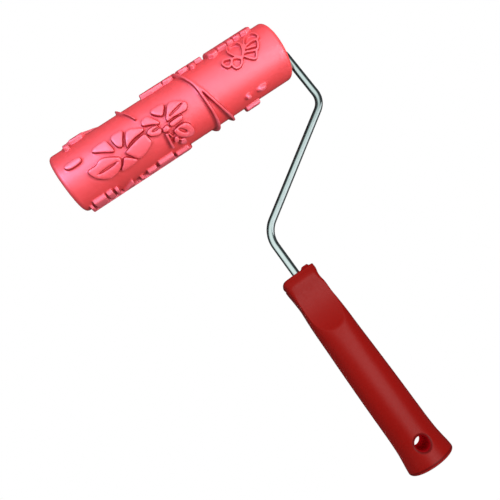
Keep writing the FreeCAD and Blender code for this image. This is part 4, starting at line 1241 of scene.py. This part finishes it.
def make_world():
    """White to the camera, an even fill for matt surfaces, a soft window to glossy ones."""
    world = bpy.data.worlds.new("studio")
    scene.world = world
    world.use_nodes = True
    world.cycles.sampling_method = "NONE"
    tree = world.node_tree
    tree.nodes.clear()
    ray = add_node(tree, "ShaderNodeLightPath").outputs
    direction = add_node(tree, "ShaderNodeTexCoord").outputs["Generated"]
    facing = add_node(tree, "ShaderNodeVectorMath", {0: direction, 1: WINDOW_AIM},
                      operation="DOT_PRODUCT")
    share = add_node(tree, "ShaderNodeMapRange", {"Value": facing.outputs["Value"],
                                                  "From Min": -1.0, "From Max": 1.0})
    ramp = add_node(tree, "ShaderNodeValToRGB", {"Fac": share.outputs[0]})
    stops = ramp.color_ramp.elements
    while len(stops) < len(MIRRORED):
        stops.new(0.5)
    for stop, (position, color) in zip(stops, MIRRORED):
        stop.position = position
        stop.color = (*color, 1.0)
    seen, mirrored, fill = (
        add_node(tree, "ShaderNodeBackground", {0: color, 1: strength}).outputs[0]
        for color, strength in (((1, 1, 1), 1.0), (ramp.outputs["Color"], 1.0),
                                ((1.0, 0.99, 0.985), 0.54)))
    unseen = add_node(tree, "ShaderNodeMixShader", {0: ray["Is Glossy Ray"], 1: fill,
                                                    2: mirrored})
    surface = add_node(tree, "ShaderNodeMixShader", {0: ray["Is Camera Ray"],
                                                     1: unseen.outputs[0], 2: seen})
    add_node(tree, "ShaderNodeOutputWorld", {"Surface": surface.outputs[0]})


def receivers(name, members):
    """A collection of the objects that a light is kept to."""
    group = bpy.data.collections.new(name)
    for ob in members:
        group.objects.link(ob)
    return group


def area_light(name, place, aim, size, radiance, color, group, hidden_from=None):
    """A rectangular softbox, set by its brightness rather than its power."""
    data = bpy.data.lights.new(name, "AREA")
    data.shape = "RECTANGLE"
    data.size, data.size_y = size
    data.energy = radiance * math.pi * data.size * data.size_y
    data.color = color
    ob = bpy.data.objects.new(name, data)
    scene.collection.objects.link(ob)
    place = Vector(to_frame(place))
    ob.location = place
    ob.rotation_mode = "QUATERNION"
    ob.rotation_quaternion = (Vector(to_frame(aim)) - place).to_track_quat("-Z", "Y")
    if hidden_from:
        setattr(ob, "visible_" + hidden_from, False)
    ob.light_linking.receiver_collection = group


make_world()
matt = receivers("matt_pieces", [ob for ob in scene.objects if ob.type == "MESH" and ob != rod])
rubber_only = receivers("rubber_only", [sleeve])
rod_only = receivers("rod_only", [rod])
handle_only = receivers("handle_only", [handle])
sleeve.visible_glossy = False

# name, place and aim in mm, size in metres, radiance, colour, receivers, ray hidden from
LIGHTS = [
    ("key_softbox", (300, -930, -400), (10, 0, -130), (0.70, 0.75), 3.1, (1.0, 0.93, 1.0),
     matt),
    ("left_softbox", (-290, -960, 90), (-70, 0, 0), (0.30, 0.30), 7.0, (1.0, 0.78, 1.0),
     rubber_only),
    ("top_softbox", (430, -700, 480), (40, 0, 0), (0.50, 0.50), 1.5, (1.0, 0.93, 1.0),
     rubber_only),
    ("low_front", (420, -430, -440), (40, 0, -30), (0.34, 0.34), 8.8, (1.0, 1.0, 1.04),
     rubber_only),
    # a sheen on the rubber's free end, without any diffuse light
    ("free_end_sheen", (-525, -905, 95), (-80, 0, 0), (0.30, 0.30), 36.0, (1.0, 0.66, 1.0),
     rubber_only, "diffuse"),
    ("back_fill", (-100, 1100, 350), (0, 0, -100), (0.9, 0.9), 1.1, (1.0, 1.0, 1.0),
     matt, "glossy"),
    # the pale table as the plated rod sees it
    ("table_bounce", (700, -1950, -555), (700, -1950, 0), (4.6, 3.7), 0.80, (0.92, 0.98, 1.0),
     rod_only, "camera"),
    # light through the hanging hole
    ("bore_light", (-340, 820, -225), (HANDLE_X, 0, HOLE_Z), (0.40, 0.40), 5.5,
     (1.0, 0.9, 0.9), handle_only, "glossy"),
    ("scoop_fill", (-60, -960, -380), (10, 0, -160), (0.35, 0.35), 1.6, (1.0, 0.95, 1.0),
     handle_only),
]
for light in LIGHTS:
    area_light(*light)

# ================================================================== camera
CAMERA_PLACE = (-41.182856518, -350.916692977, -185.259566335)
CAMERA_RIGHT = (0.8226228513775521, 0.048900652203920536, -0.5664806886430436)
CAMERA_DOWN = (-0.5622145670876175, 0.2187034924875024, -0.7975484705823537)
CAMERA_AHEAD = (0.08489066465724263, 0.9745652921112059, 0.2074031496054276)
cam_data = bpy.data.cameras.new("photo_view")
cam_data.sensor_fit = "HORIZONTAL"
cam_data.sensor_width = 36.0
cam_data.lens = 38.9974536
cam_data.clip_start, cam_data.clip_end = 0.01, 50.0
cam = bpy.data.objects.new("photo_view", cam_data)
scene.collection.objects.link(cam)
pose = Matrix.Identity(4)
for row, (right, down, ahead, place) in enumerate(zip(
        CAMERA_RIGHT, CAMERA_DOWN, CAMERA_AHEAD, to_frame(CAMERA_PLACE))):
    pose[row] = (right, -down, -ahead, place)
cam.matrix_world = pose
scene.camera = cam
